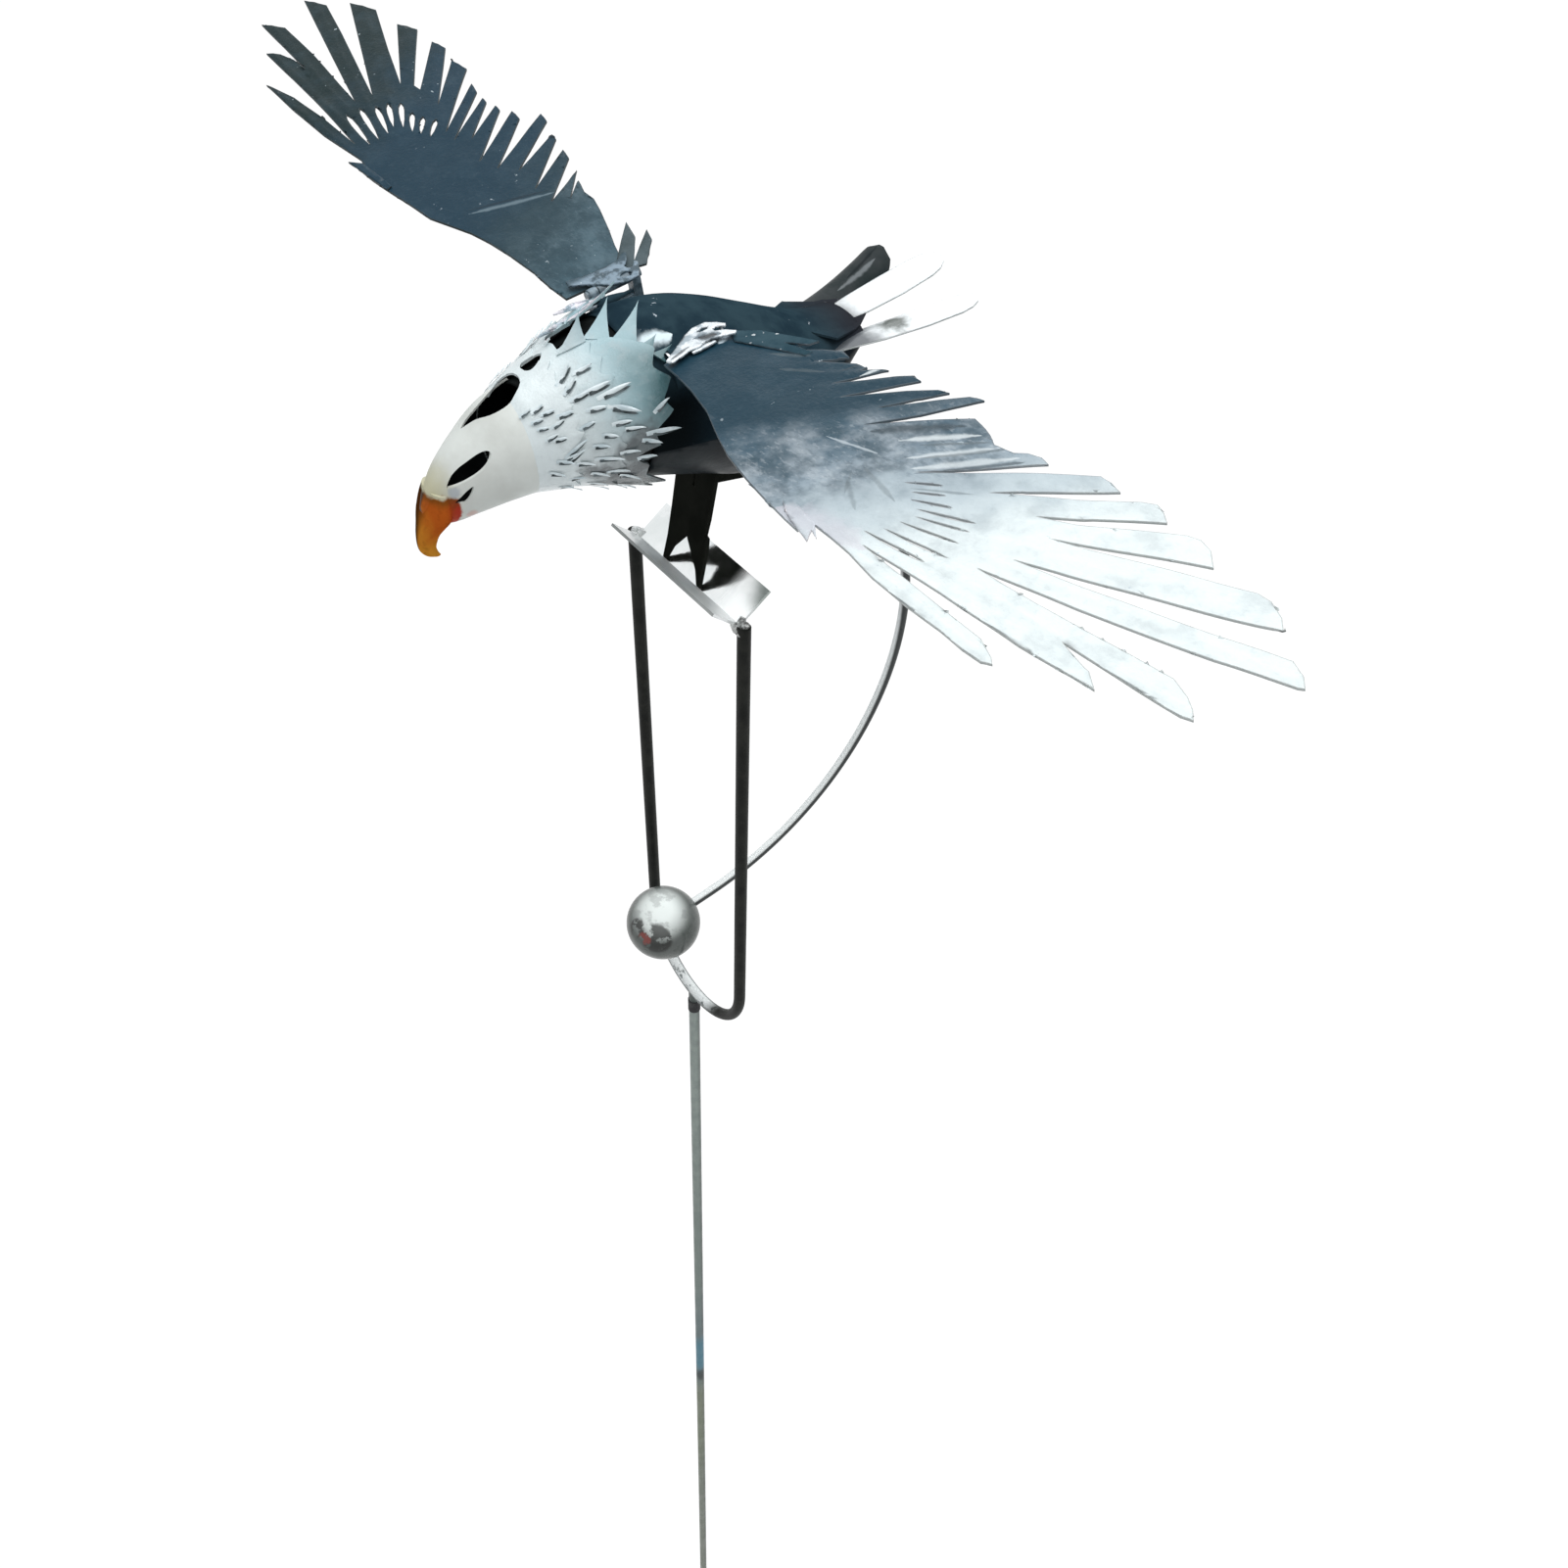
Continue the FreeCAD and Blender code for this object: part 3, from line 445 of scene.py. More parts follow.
stake_grey = finish("stake grey-green", stake_colour, cloudy(0.35, 0.55), specular=0.15)
stub_grey = finish("stub dark grey", speckled((0.06, 0.075, 0.07), (0.12, 0.14, 0.13), 120),
                   0.4, specular=0.2)
bush_black = finish("bush black", speckled((0.03, 0.03, 0.032), (0.06, 0.06, 0.06), 200), 0.6,
                    specular=0.1)
fork_dark = finish("fork black steel", fork_colour, cloudy(0.35, 0.5), specular=0.06)
bright = finish("bare bright steel", speckled((0.62, 0.64, 0.65), (0.3, 0.32, 0.34), 160),
                cloudy(0.12, 0.35), bump=0.5, metallic=1.0)
leg_black = finish("leg black", speckled((0.011, 0.012, 0.01), (0.017, 0.018, 0.015), 60,
                   pale=(0.1, 0.1, 0.09), amount=0.3), cloudy(0.4, 0.55), specular=0.0)
print("stake and fork finishes", [m.name for m in bpy.data.materials])

# %% [markdown]
# ## Body
#
# The back is slate blue with a painted highlight as a pale patch at the shoulder, painted shade low
# on the front flank, and a browner rump; the belly and the inside of the sheet are near black, the
# inside as painted shade.

# %% Body finishes
def back_colour(tree):
    """Slate blue, with a painted highlight as a pale shoulder patch, painted shade darkening the
    low front flank, and a brown rump.
    """
    out = speckled((0.013, 0.028, 0.04), (0.026, 0.05, 0.064), 55, pale=(0.35, 0.4, 0.44),
                   amount=0.55)(tree)
    # the first stroke is a painted highlight on the shoulder
    out = brushed(tree, out, [((29, 14.6), (12, 15.8), 4.2, (0.72, 0.83, 0.87), 0.95),
                              ((31, 11), (22, 11), 4.0, (0.07, 0.1, 0.12), 0.7)])
    at = object_axes(tree)
    # painted shade: the low front flank is darkened nearly to black
    low = below(tree, at[2], up_at(396), up_at(408))
    front = below(tree, at[1], -20 * MM, 10 * MM)
    out = mix(tree, times(tree, low, front), out, (0.005, 0.007, 0.008))
    rump = times(tree, spread(tree, at[1], 52 * MM, 84 * MM), 0.85)
    return mix(tree, rump, out, (0.026, 0.024, 0.028))


slate = finish("back slate blue", back_colour, cloudy(0.24, 0.4), bump=0.2, specular=0.0)
# painted shade: the inside of every shell and the neck shell are near black, so that the openings
# into the body read dark
dark_inside = finish("inside black", speckled((0.003, 0.004, 0.004), (0.007, 0.009, 0.009), 80),
                     0.7, specular=0.05)
belly_black = finish("belly black", speckled((0.005, 0.008, 0.01), (0.011, 0.016, 0.019), 60,
                     pale=(0.3, 0.33, 0.35), amount=0.25), cloudy(0.35, 0.5), bump=0.2,
                     specular=0.1)
print("finishes", len(bpy.data.materials))

# %% [markdown]
# ## Helpers that finish a piece
#
# A mesh is built in a bmesh, then handed to Blender as an object that rides on one of the
# moving bodies. Smooth shading with a limit on the angle keeps folds crisp and curves soft.

# %% Finishing a piece
SHEET = 0.8 * MM


def add_piece(name, bm, body, slot, materials, replaces=(), smooth=40, thick=0.0, rim=0,
              inner=0, even=True):
    """Turn a bmesh into a finished piece on a body; thick adds a sheet's thickness inward."""
    mesh = bpy.data.meshes.new(name)
    bm.to_mesh(mesh)
    bm.free()
    mesh.shade_smooth()
    mesh.set_sharp_from_angle(angle=math.radians(smooth))
    piece = bpy.data.objects.new(name, mesh)
    bpy.context.scene.collection.objects.link(piece)
    for material in materials:
        mesh.materials.append(material)
    if thick:
        shell = piece.modifiers.new("sheet", "SOLIDIFY")
        shell.thickness, shell.offset, shell.use_even_offset = thick, -1, even
        shell.material_offset_rim, shell.material_offset = rim, inner
    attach(piece, body)
    if replaces:
        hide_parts(*replaces)
    print(name, len(mesh.polygons), "faces on", body)
    return piece


print("sheet thickness %.1f mm" % (SHEET / MM))

# %% Growing a skin through sections
def smoothed(sections, steps=4):
    """More sections on a smooth curve through the given ones."""
    out = []
    for i in range(len(sections) - 1):
        a, b = sections[i], sections[i + 1]
        before = sections[i - 1] if i else [2 * p - q for p, q in zip(a, b)]
        after = (sections[i + 2] if i + 2 < len(sections)
                 else [2 * q - p for p, q in zip(a, b)])
        for k in range(steps):
            t = k / steps
            out.append([0.5 * (2 * q + (r - p) * t + (2 * p - 5 * q + 4 * r - s) * t * t
                               + (3 * q - p - 3 * r + s) * t ** 3)
                        for p, q, r, s in zip(before, a, b, after)])
    return out + [list(sections[-1])]


def grow_rings(bm, sections, place, segments=96, close=(False, False), turn=None):
    """Skin through oval sections; each is (along, up, half width, half height)."""
    stand = turn or Matrix.Rotation(math.pi / 2, 4, "X")
    first = sections[0]
    made = bmesh.ops.create_circle(
        bm, segments=segments, radius=1, cap_ends=close[0],
        matrix=Matrix.Translation(place(first)) @ stand @ Matrix.Diagonal(
            (first[2] * MM, first[3] * MM, 1, 1)))["verts"]
    ring = set(made)
    rings = [list(made)]
    edges = [e for e in bm.edges if e.verts[0] in ring and e.verts[1] in ring]
    back = stand.inverted()
    for before, now in zip(sections, sections[1:]):
        made = bmesh.ops.extrude_edge_only(bm, edges=edges)["geom"]
        ring = {v for v in made if isinstance(v, bmesh.types.BMVert)}
        edges = [e for e in made if isinstance(e, bmesh.types.BMEdge)
                 and e.verts[0] in ring and e.verts[1] in ring]
        bmesh.ops.scale(bm, verts=list(ring), vec=(now[2] / before[2], now[3] / before[3], 1),
                        space=back @ Matrix.Translation(-place(before)))
        bmesh.ops.translate(bm, verts=list(ring), vec=place(now) - place(before))
        rings.append(list(ring))
    if close[1]:
        bmesh.ops.contextual_create(bm, geom=edges)
    bmesh.ops.recalc_face_normals(bm, faces=bm.faces)
    return rings


def across(section):
    """The middle of a section."""
    return spot(section[0], 0, section[1])


print("three sections smoothed to", len(smoothed([(0, 1), (1, 2), (2, 2)])))

# %% Slicing and punching
def keep(bm, wanted):
    """Drop the faces whose middle fails the test."""
    gone = [f for f in bm.faces if not wanted(f.calc_center_median())]
    bmesh.ops.delete(bm, geom=gone, context="FACES")


def slice_at(bm, point, normal):
    """Cut edges where a plane passes, and keep both sides."""
    bmesh.ops.bisect_plane(bm, geom=bm.verts[:] + bm.edges[:] + bm.faces[:], dist=1e-7,
                           plane_co=point, plane_no=normal)


def punch(piece, outline, reach):
    """Cut a hole through a piece with a prism that stands on an outline."""
    cutter = bmesh.new()
    base = cutter.faces.new([cutter.verts.new(p) for p in outline])
    pushed = bmesh.ops.extrude_face_region(cutter, geom=[base])["geom"]
    bmesh.ops.translate(cutter, vec=reach,
                        verts=[v for v in pushed if isinstance(v, bmesh.types.BMVert)])
    bmesh.ops.recalc_face_normals(cutter, faces=cutter.faces)
    mesh = bpy.data.meshes.new("punch")
    cutter.to_mesh(mesh)
    cutter.free()
    tool = bpy.data.objects.new("punch", mesh)
    bpy.context.scene.collection.objects.link(tool)
    step = piece.modifiers.new("punch", "BOOLEAN")
    step.object, step.operation, step.solver = tool, "DIFFERENCE", "EXACT"
    bpy.context.view_layer.update()
    cut = bpy.data.meshes.new_from_object(
        piece.evaluated_get(bpy.context.evaluated_depsgraph_get()))
    piece.modifiers.clear()
    piece.data = cut
    bpy.data.objects.remove(tool)
    bpy.data.meshes.remove(mesh)


print("shaping tools", [f.__name__ for f in (grow_rings, keep, slice_at, punch)])

# %% [markdown]
# ## Back and belly
#
# The body is two pressed half shells that meet along a seam on each flank. One smooth skin is
# grown through oval sections, sliced along the seam, and each half keeps its own side; the
# sheet's thickness comes from a Solidify modifier, so the open edges show a real rim.

# %% Body skin
BODY = [(30, 388, 30.5, 30.5), (18, 387, 32.6, 32.6), (0, 383.4, 34.4, 34.6),
        (-18, 377.6, 34.8, 35), (-36, 373, 32, 32.2), (-52, 373.6, 26, 25),
        (-66, 379.4, 20, 15), (-80, 386.6, 15, 6)]
SEAM_UP, SEAM_REAR, SEAM_TAIL = 379.0, -58.0, (-90.0, 391.0)


def seam_height(fwd):
    if fwd > SEAM_REAR:
        return SEAM_UP
    share = (SEAM_REAR - fwd) / (SEAM_REAR - SEAM_TAIL[0])
    return SEAM_UP + share * (SEAM_TAIL[1] - SEAM_UP)


def above_seam(point):
    fwd = -point.y / MM
    return point.z / MM - STAKE_TOP > seam_height(fwd)


slope = Vector((0, SEAM_TAIL[1] - SEAM_UP, -(SEAM_REAR - SEAM_TAIL[0])))
for name, slot, material, top in (("back_shell", "slate_paint", slate, True),
                                  ("belly_shell", "belly_black", belly_black, False)):
    bm = bmesh.new()
    grow_rings(bm, smoothed(BODY, 5), across)
    slice_at(bm, spot(SEAM_REAR, 0, 0), (0, 1, 0))
    slice_at(bm, spot(0, 0, SEAM_UP), (0, 0, 1))
    slice_at(bm, spot(SEAM_REAR, 0, SEAM_UP), slope)
    keep(bm, above_seam if top else lambda p: not above_seam(p))
    add_piece(name + "_skin", bm, "rocker", slot, [material, dark_inside], [name], 60, SHEET,
              inner=1)

# %% [markdown]
# ## Head
#
# The head is a tapered shell with an opening at the crown and an almond hole for each eye.
# The skin is grown as before and closed at the front, thickened, and then the holes are
# punched with prisms, because a Boolean keeps their thin bright rims.

# %% Head paint
BEAK_LINE, BEAK_TOP = 99.2, 375.6


def beak_mask(tree):
    """1 on the beak's side of its painted edge, worked out from the place on the head."""
    where = object_axes(tree)
    wander = times(tree, wobble(tree, object_place(tree), 320), 3 * MM)
    fwd = calc(tree, "ADD", times(tree, where[1], -1), wander)
    up = calc(tree, "ADD", where[2], wander)
    front = spread(tree, fwd, (BEAK_LINE - 0.5) * MM, (BEAK_LINE + 0.7) * MM)
    past_bend = calc(tree, "MAXIMUM", calc(tree, "SUBTRACT", fwd, 103.5 * MM), 0.0)
    slope = times(tree, past_bend, 0.12)
    level = calc(tree, "SUBTRACT", calc(tree, "ADD", up, slope), up_at(BEAK_TOP))
    low = below(tree, level, -0.8 * MM, 0.8 * MM)
    return times(tree, front, low), fwd, up


def beak_colour(tree, fwd, up):
    """Brown under the brow, red behind, orange in the middle, amber in front and at the hook, and
    painted shade on the side that faces the bird's right.
    """
    orange, amber, red, brown = ((0.42, 0.09, 0.012), (0.55, 0.23, 0.025), (0.36, 0.02, 0.014),
                                 (0.12, 0.05, 0.008))
    hook = below(tree, up, up_at(351), up_at(364))
    front = times(tree, spread(tree, fwd, 108 * MM, 113 * MM), 0.7)
    behind = below(tree, fwd, 99.5 * MM, 105.5 * MM)
    brow = spread(tree, up, up_at(371), up_at(375))
    out = mix(tree, calc(tree, "MAXIMUM", hook, front), orange, amber)
    out = mix(tree, times(tree, behind, 0.85), out, red)
    out = mix(tree, times(tree, brow, 0.75), out, brown)
    # painted shade on the beak's side that faces the bird's right
    far_side = turned(tree, (-1, 0, 0), -0.25, 0.2)
    out = mix(tree, times(tree, far_side, 0.9), out, (0.03, 0.014, 0.005))
    grain = use(tree, clouds, Size=380.0, Low=0.5, High=0.75)["Mask"]
    return mix(tree, times(tree, grain, 0.35), out, (0.1, 0.03, 0.005))


def head_colour(tree):
    """White, warmer toward the beak, with a bluish streak, a pink blush and the beak's paint."""
    mask, fwd, up = beak_mask(tree)
    white = speckled((0.66, 0.69, 0.66), (0.56, 0.58, 0.55), 46, 0.3, 0.7)(tree)
    warm = spread(tree, fwd, 97 * MM, 107 * MM)
    white = mix(tree, times(tree, warm, 0.75), white, (0.45, 0.42, 0.24))
    for side in (1, -1):
        streak = blot(tree, spot(100.8, side * 9.5, 377.6), 2.6, 0.8, 400.0)
        white = mix(tree, times(tree, streak, 0.6), white, (0.3, 0.34, 0.4))
        blush = blot(tree, spot(95.5, side * 11, 367), 2.6, 0.6, 300.0)
        white = mix(tree, times(tree, blush, 0.6), white, (0.6, 0.36, 0.32))
    return mix(tree, mask, white, beak_colour(tree, fwd, up))


head_paint = finish("head white and beak", head_colour, cloudy(0.3, 0.5), bump=0.12,
                    specular=0.05)
print("beak paint starts", BEAK_LINE, "mm forward and ends", BEAK_TOP, "mm up")

# %% Head shell with its holes
HEAD = [(110, 368.4, 1.2, 2), (107, 369.6, 4.8, 7.2), (100, 373.2, 10.4, 12),
        (91, 377.6, 14.4, 15.2), (80, 382, 18, 18.4), (67, 384.8, 20.8, 20.8)]
# holes as listed outlines: the eye as (forward, up), the others as (forward, left)
EYE = [(102, 378.8), (100.2, 382.2), (97.4, 385), (94.3, 387.2), (90, 389.9), (87.2, 391),
       (86.2, 390.2), (88, 387.4), (90.4, 385.2), (93.4, 383.2), (97.4, 381)]
GAPE = [(101, 373.6), (98.8, 376.2), (96.6, 378.4), (94.4, 379.8), (95.4, 377), (97.8, 374)]
CROWN = [(89.6, -2.8), (85.1, 0.3), (81, 3.9), (76.2, 5.4), (71.5, 4.8), (67, 2), (65.8, -3),
         (66.8, -7.8), (70.6, -8.8), (76, -6.6), (81.3, -4.8), (86.8, -4.2)]
bm = bmesh.new()
grow_rings(bm, smoothed(HEAD, 6), across, close=(True, False))
head = add_piece("head_skin", bm, "rocker", "head_white", [head_paint, dark_inside],
                 ["head_shell"], 50, SHEET, inner=1)


def closed_curve(points, steps=4):
    """A smooth loop through the points of an outline."""
    loop = [points[-1]] + list(points) + [points[0], points[1]]
    return smoothed(loop, steps)[steps:-2 * steps]


REACH = 40.0
for outline, inner, steps in ((EYE, 3, 4), (GAPE, 6, 3)):
    for side in (1, -1):
        punch(head, [spot(f, side * inner, u) for f, u in closed_curve(outline, steps)],
              Vector((side * REACH, 0, 0)) * MM)
punch(head, [spot(f, w, 388) for f, w in closed_curve(CROWN, 3)], Vector((0, 0, REACH)) * MM)
head.data.set_sharp_from_angle(angle=math.radians(40))
print("head", len(head.data.polygons), "faces with eyes and crown punched")

# %% [markdown]
# ## Beak
#
# The beak is a hooked cone. It is easiest to grow downward through level ovals that move
# forward and then tuck back under at the tip.

# %% Beak
BEAK = [(376.2, 99.8, 107, 7.8), (371, 99.6, 108.8, 9.6), (366, 99.6, 110.8, 9.4),
        (362.4, 101.6, 112, 7.2), (358.8, 104.4, 113, 5.2), (355, 106, 113.4, 3.8),
        (352, 106.6, 112.9, 2.8), (349.4, 106, 111, 1.9), (347.8, 105.2, 108, 1)]
levels = [((rear + front) / 2, up, half, (front - rear) / 2) for up, rear, front, half in BEAK]
bm = bmesh.new()
grow_rings(bm, smoothed(levels, 4), across, 48, (True, True), Matrix.Identity(4))
beak_paint = finish("beak orange", head_colour, cloudy(0.22, 0.4), bump=0.15, specular=0.0)
add_piece("beak_horn", bm, "rocker", "beak_orange", [beak_paint], ["beak"], 60)

# %% [markdown]
# ## Neck feathers
#
# Three flared collars of thin sheet overlap down the neck. Each has a ragged rear edge. The
# skin is grown as a tube with fine rings, and then each point near the rear edge is pulled
# back by a saw-tooth that changes from feather to feather, which gives sharp uneven tips.

# %% Cape paint
def cape_colour(tree):
    """White in front, pale blue over the back, teal at the shoulder edge, and darker below with
    grime and painted shade.
    """
    where = object_place(tree)
    place = put(tree, "SeparateXYZ", {0: where}).outputs
    fwd, up = times(tree, place[1], -1), place[2]
    wander = times(tree, wobble(tree, where, 70, 4.0), 14 * MM)
    strayed = calc(tree, "ADD", fwd, wander)
    rear = below(tree, strayed, 34 * MM, 60 * MM)
    high = spread(tree, calc(tree, "ADD", up, wander), up_at(376), up_at(404))
    white, blue, teal, grime = ((0.64, 0.71, 0.72), (0.29, 0.44, 0.48), (0.06, 0.14, 0.155),
                                (0.04, 0.05, 0.055))
    out = mix(tree, times(tree, rear, high), white, blue)
    edge = below(tree, strayed, 24 * MM, 45 * MM)
    side = below(tree, up, up_at(413), up_at(420))
    out = mix(tree, times(tree, edge, side), out, teal)
    # darker low on the rear and in smears low on each side: grime and painted shade together
    low = below(tree, up, up_at(376), up_at(400))
    patches = use(tree, clouds, Size=110.0, Low=0.36, High=0.56)["Mask"]
    dirt = times(tree, times(tree, rear, low), patches)
    out = mix(tree, times(tree, dirt, 0.95), out, grime)
    for side in (1, -1):
        for at, radius in (((50, 25, 376), 7), ((37, 31, 387), 8), ((40, 24, 370), 9)):
            smear = blot(tree, spot(at[0], side * at[1], at[2]), radius, 1.6, 110.0)
            out = mix(tree, times(tree, smear, 0.8), out, grime)
    grey = use(tree, clouds, Size=210.0, Low=0.5, High=0.75)["Mask"]
    return mix(tree, times(tree, grey, 0.3), out, (0.36, 0.4, 0.41))


cape_paint = finish("cape pale blue", cape_colour, cloudy(0.22, 0.42), bump=0.35, coat=0.3,
                    height=lambda tree: use(tree, dents, Size=120.0, Fine=0.2)["Height"])
print("cape paint", len(cape_paint.node_tree.nodes), "nodes")

# %% The neck's line and its feather tips
NECK_LINE = [(78, 382.6, 18.4), (70.5, 384.7, 21.1), (62, 386, 23.4), (56, 387.2, 25.3),
             (49, 388, 27.8), (42, 388.5, 30.2), (34, 388.4, 32.6), (26, 388, 34.6),
             (14, 386.6, 35.8)]
REAR_EDGE = [(0, 28), (40, 27), (62, 25.5), (76, 27.5), (88, 32), (98, 37), (108, 38.5),
             (118, 34), (130, 30), (180, 28)]
CAPES = {  # front end, rear end, feather tips, their depth and lift, start below the line
    "front_cape": (76, 58, 26, 3.2, 0.7, 0.9, 3),
    "middle_cape": (62, 44, 23, 4.4, 0.9, 0.7, 7),
    "rear_cape": (49, None, 19, 7.5, 1.3, 0.7, 11)}
SEGMENTS, STRIPS = 240, 22


def face_outward(bm):
    """Turn an open tube's faces away from the bird's long axis."""
    bmesh.ops.recalc_face_normals(bm, faces=bm.faces)
    axis = Vector((MIDLINE, 0, STAKE_TOP + 360)) * MM
    flat = Vector((1, 0, 1))
    if sum((f.calc_center_median() - axis).dot(f.normal * flat) for f in bm.faces) < 0:
        bmesh.ops.reverse_faces(bm, faces=bm.faces)


def along_table(table, key, column=1):
    """Read a column of a table at a key, in straight steps."""
    rows = sorted(table)
    for low, high in zip(rows, rows[1:]):
        if key <= high[0]:
            share = max(0, (key - low[0]) / (high[0] - low[0]))
            return low[column] + (high[column] - low[column]) * share
    return rows[-1][column]


def neck_spot(fwd, angle, lift=0.0):
    """A point on the feathered neck; angle in degrees from straight up."""
    up, radius = along_table(NECK_LINE, fwd), along_table(NECK_LINE, fwd, 2) + lift
    turn = math.radians(angle)
    return spot(fwd, radius * math.sin(turn), up + radius * math.cos(turn))


def tooth(angle, count, seed):
    """How far the edge reaches back at this angle, 0 in a notch to 1 at a long tip."""
    place = (angle + 180) / 360 * count
    index, share = math.floor(place), place - math.floor(place)
    chance = random.Random(seed * 100 + index % count)
    tall, lean = chance.uniform(0.45, 1), chance.uniform(0.3, 0.7)
    rise = share / lean if share < lean else (1 - share) / (1 - lean)
    return tall * rise ** 1.3


print("tooth heights", [round(tooth(a, 19, 11), 2) for a in (0, 30, 60)])

# %% Cape skins
capes = {}
for name, (front, rear, count, depth, lift, sunk, seed) in CAPES.items():
    bm = bmesh.new()
    steps = [(k, 0, 1, 1) for k in range(STRIPS)]
    for row, ring in enumerate(grow_rings(bm, steps, across, SEGMENTS)):
        share = row / (STRIPS - 1)
        for v in ring:
            turn = math.degrees(math.atan2(v.co.x - MIDLINE * MM, v.co.z - STAKE_TOP * MM))
            reach = tooth(turn, count, seed)
            back = (rear if rear else along_table(REAR_EDGE, abs(turn))) - depth * reach
            ease = share ** 0.8
            raised = lift * reach ** 1.5 * share ** 4 - sunk * (1 - share) ** 2
            v.co = neck_spot(front + (back - front) * ease, turn, raised)
    face_outward(bm)
    capes[name] = bm
    print(name, count, "feather tips", depth, "mm deep")

# %% [markdown]
# ## The opening along the back
#
# The rear collar is cut open in a V over the back, and the sheet there is torn into long
# points that stand up. The V is removed with slanting slices; the tall points are folded
# from small grids and joined to the same sheet.

# %% Rear cape opening
BACK_V = [(50, 0), (43, 5.5), (34.6, 11), (27, 17.5), (14, 27)]


def inside_v(point):
    """Whether a point lies in the opening over the back."""
    fwd, side = -point.y / MM, abs(point.x / MM - MIDLINE)
    if point.z / MM - STAKE_TOP < 395 or fwd > BACK_V[0][0]:
        return False
    for (f0, w0), (f1, w1) in zip(BACK_V, BACK_V[1:]):
        if f0 >= fwd >= f1:
            return side < w0 + (w1 - w0) * (f0 - fwd) / (f0 - f1)
    return side < BACK_V[-1][1]


before = len(capes["rear_cape"].faces)
for (f0, w0), (f1, w1) in zip(BACK_V, BACK_V[1:]):
    for side in (1, -1):
        slice_at(capes["rear_cape"], spot(f0, side * w0, 0),
                 Vector((side * (f0 - f1), -(w1 - w0), 0)))
keep(capes["rear_cape"], lambda p: not inside_v(p))
print("rear cape faces", before, "before and", len(capes["rear_cape"].faces), "after the V")

# %% Long points beside the opening
POINTS = [((53, 4, 414), (42.6, 7.5, 418), (42, 2.6, 426.6)),
          ((43, 5.5, 418), (35, 11, 417.6), (29.3, 1.2, 428.4)),
          ((35, 11, 417.4), (27.6, 17, 416.2), (20.6, 7.8, 427.5)),
          ((27.8, 17, 416), (23.6, 21, 413.6), (19.6, 17.4, 418.6)),
          ((24.2, 20.6, 413.8), (20.6, 24.4, 411), (16.2, 22, 415.6))]


def paint_faces(verts, material):
    for face in {f for v in verts for f in v.link_faces}:
        face.material_index = material


def add_point(bm, base_a, base_b, tip, side, curl=1.6, rows=8):
    """A long lifted point: a strip narrowed to its tip and curled a little."""
    a, b, t = (spot(p[0], side * p[1], p[2]) for p in (base_a, base_b, tip))
    grid = bmesh.ops.create_grid(bm, x_segments=4, y_segments=rows, size=0.5)["verts"]
    outward = (b - a).cross(t - a).normalized()
    if outward.z < 0:
        outward = -outward
    for v in grid:
        across_share, along_share = v.co.x + 0.5, v.co.y + 0.5
        width = (1 - along_share) ** 1.35
        foot = a.lerp(b, 0.5 + (across_share - 0.5) * width)
        middle = a.lerp(b, 0.5)
        ridge = (1 - abs(2 * across_share - 1)) * 0.5 * MM * (1 - along_share)
        v.co = (foot + (t - middle) * along_share + outward * (
            ridge + curl * MM * 4 * along_share * (1 - along_share) * -0.4))
    paint_faces(grid, 2)


for base_a, base_b, tip in POINTS:
    for side in (1, -1):
        add_point(capes["rear_cape"], base_a, base_b, tip, side)
bmesh.ops.remove_doubles(capes["rear_cape"], verts=capes["rear_cape"].verts, dist=0.02 * MM)
print("points", len(POINTS), "on each side")

# %% Capes with their gaps
NAPE = [(63.2, -1.4), (61.6, 0.6), (58.6, 0.2), (55.5, -2.3), (56.4, -4.6), (58.4, -5.4),
        (61.4, -6.6), (63.2, -4.4)]
SHOULDER = [(51.2, 1.4), (48, 1.5), (44.4, 0.9), (39.6, -4.7), (42.4, -7.2), (45.8, -8.5),
            (49.2, -9.9), (51, -6.2), (50.6, -2.4)]
pale_inside = finish("bare zinc inside", speckled((0.78, 0.74, 0.78), (0.4, 0.44, 0.5), 190, 0.5,
                     0.62), cloudy(0.15, 0.3), bump=0.3)
for name, bm in capes.items():
    slot = "cape_blue" if name == "rear_cape" else "cape_white"
    collar = add_piece(name + "_skin", bm, "rocker", slot,
                       [cape_paint, dark_inside, cape_paint, pale_inside], [name], 50,
                       0.7 * MM, inner=1)
    for gap in (NAPE, SHOULDER, CROWN):
        punch(collar, [spot(f, w, 388) for f, w in closed_curve(gap, 3)],
              Vector((0, 0, REACH)) * MM)
    collar.data.set_sharp_from_angle(angle=math.radians(40))

# %% Thin torn blades beside the far shoulder
BLADES = [((38, -15, 419), (24, -21.5, 415.8), 2.4), ((43.1, -14, 418.7), (15, -21, 415), 2.8),
          ((42, -12, 416.4), (18.8, -18, 414.6), 2.4), ((48.2, -9, 416.5), (32.8, -13, 416.0), 2.6),
          ((53.7, -8, 415.5), (39, -11, 415.4), 2.2), ((30, -18, 416), (10, -21, 414.4), 2.6),
          ((24, -17, 415.4), (5, -20.5, 414.6), 5)]
bm = bmesh.new()
for number, (root, tip, width) in enumerate(BLADES):
    a, b = spot(*root), spot(*tip)
    wide = (b - a).cross(Vector((0.5, 0.4, 1))).normalized()
    grid = bmesh.ops.create_grid(bm, x_segments=2, y_segments=10, size=0.5)["verts"]
    for v in grid:
        side, share = v.co.x * 2, v.co.y + 0.5
        half = width / 2 * MM * min(1, 0.3 + 2 * share) * (1 - share) ** 0.7
        v.co = a.lerp(b, share) + wide * side * half + Vector(
            (0, 0, (0.5 - 0.5 * side ** 2 + 1.6 * share * (1 - share)) * MM))
    paint_faces(grid, int(number == len(BLADES) - 1))
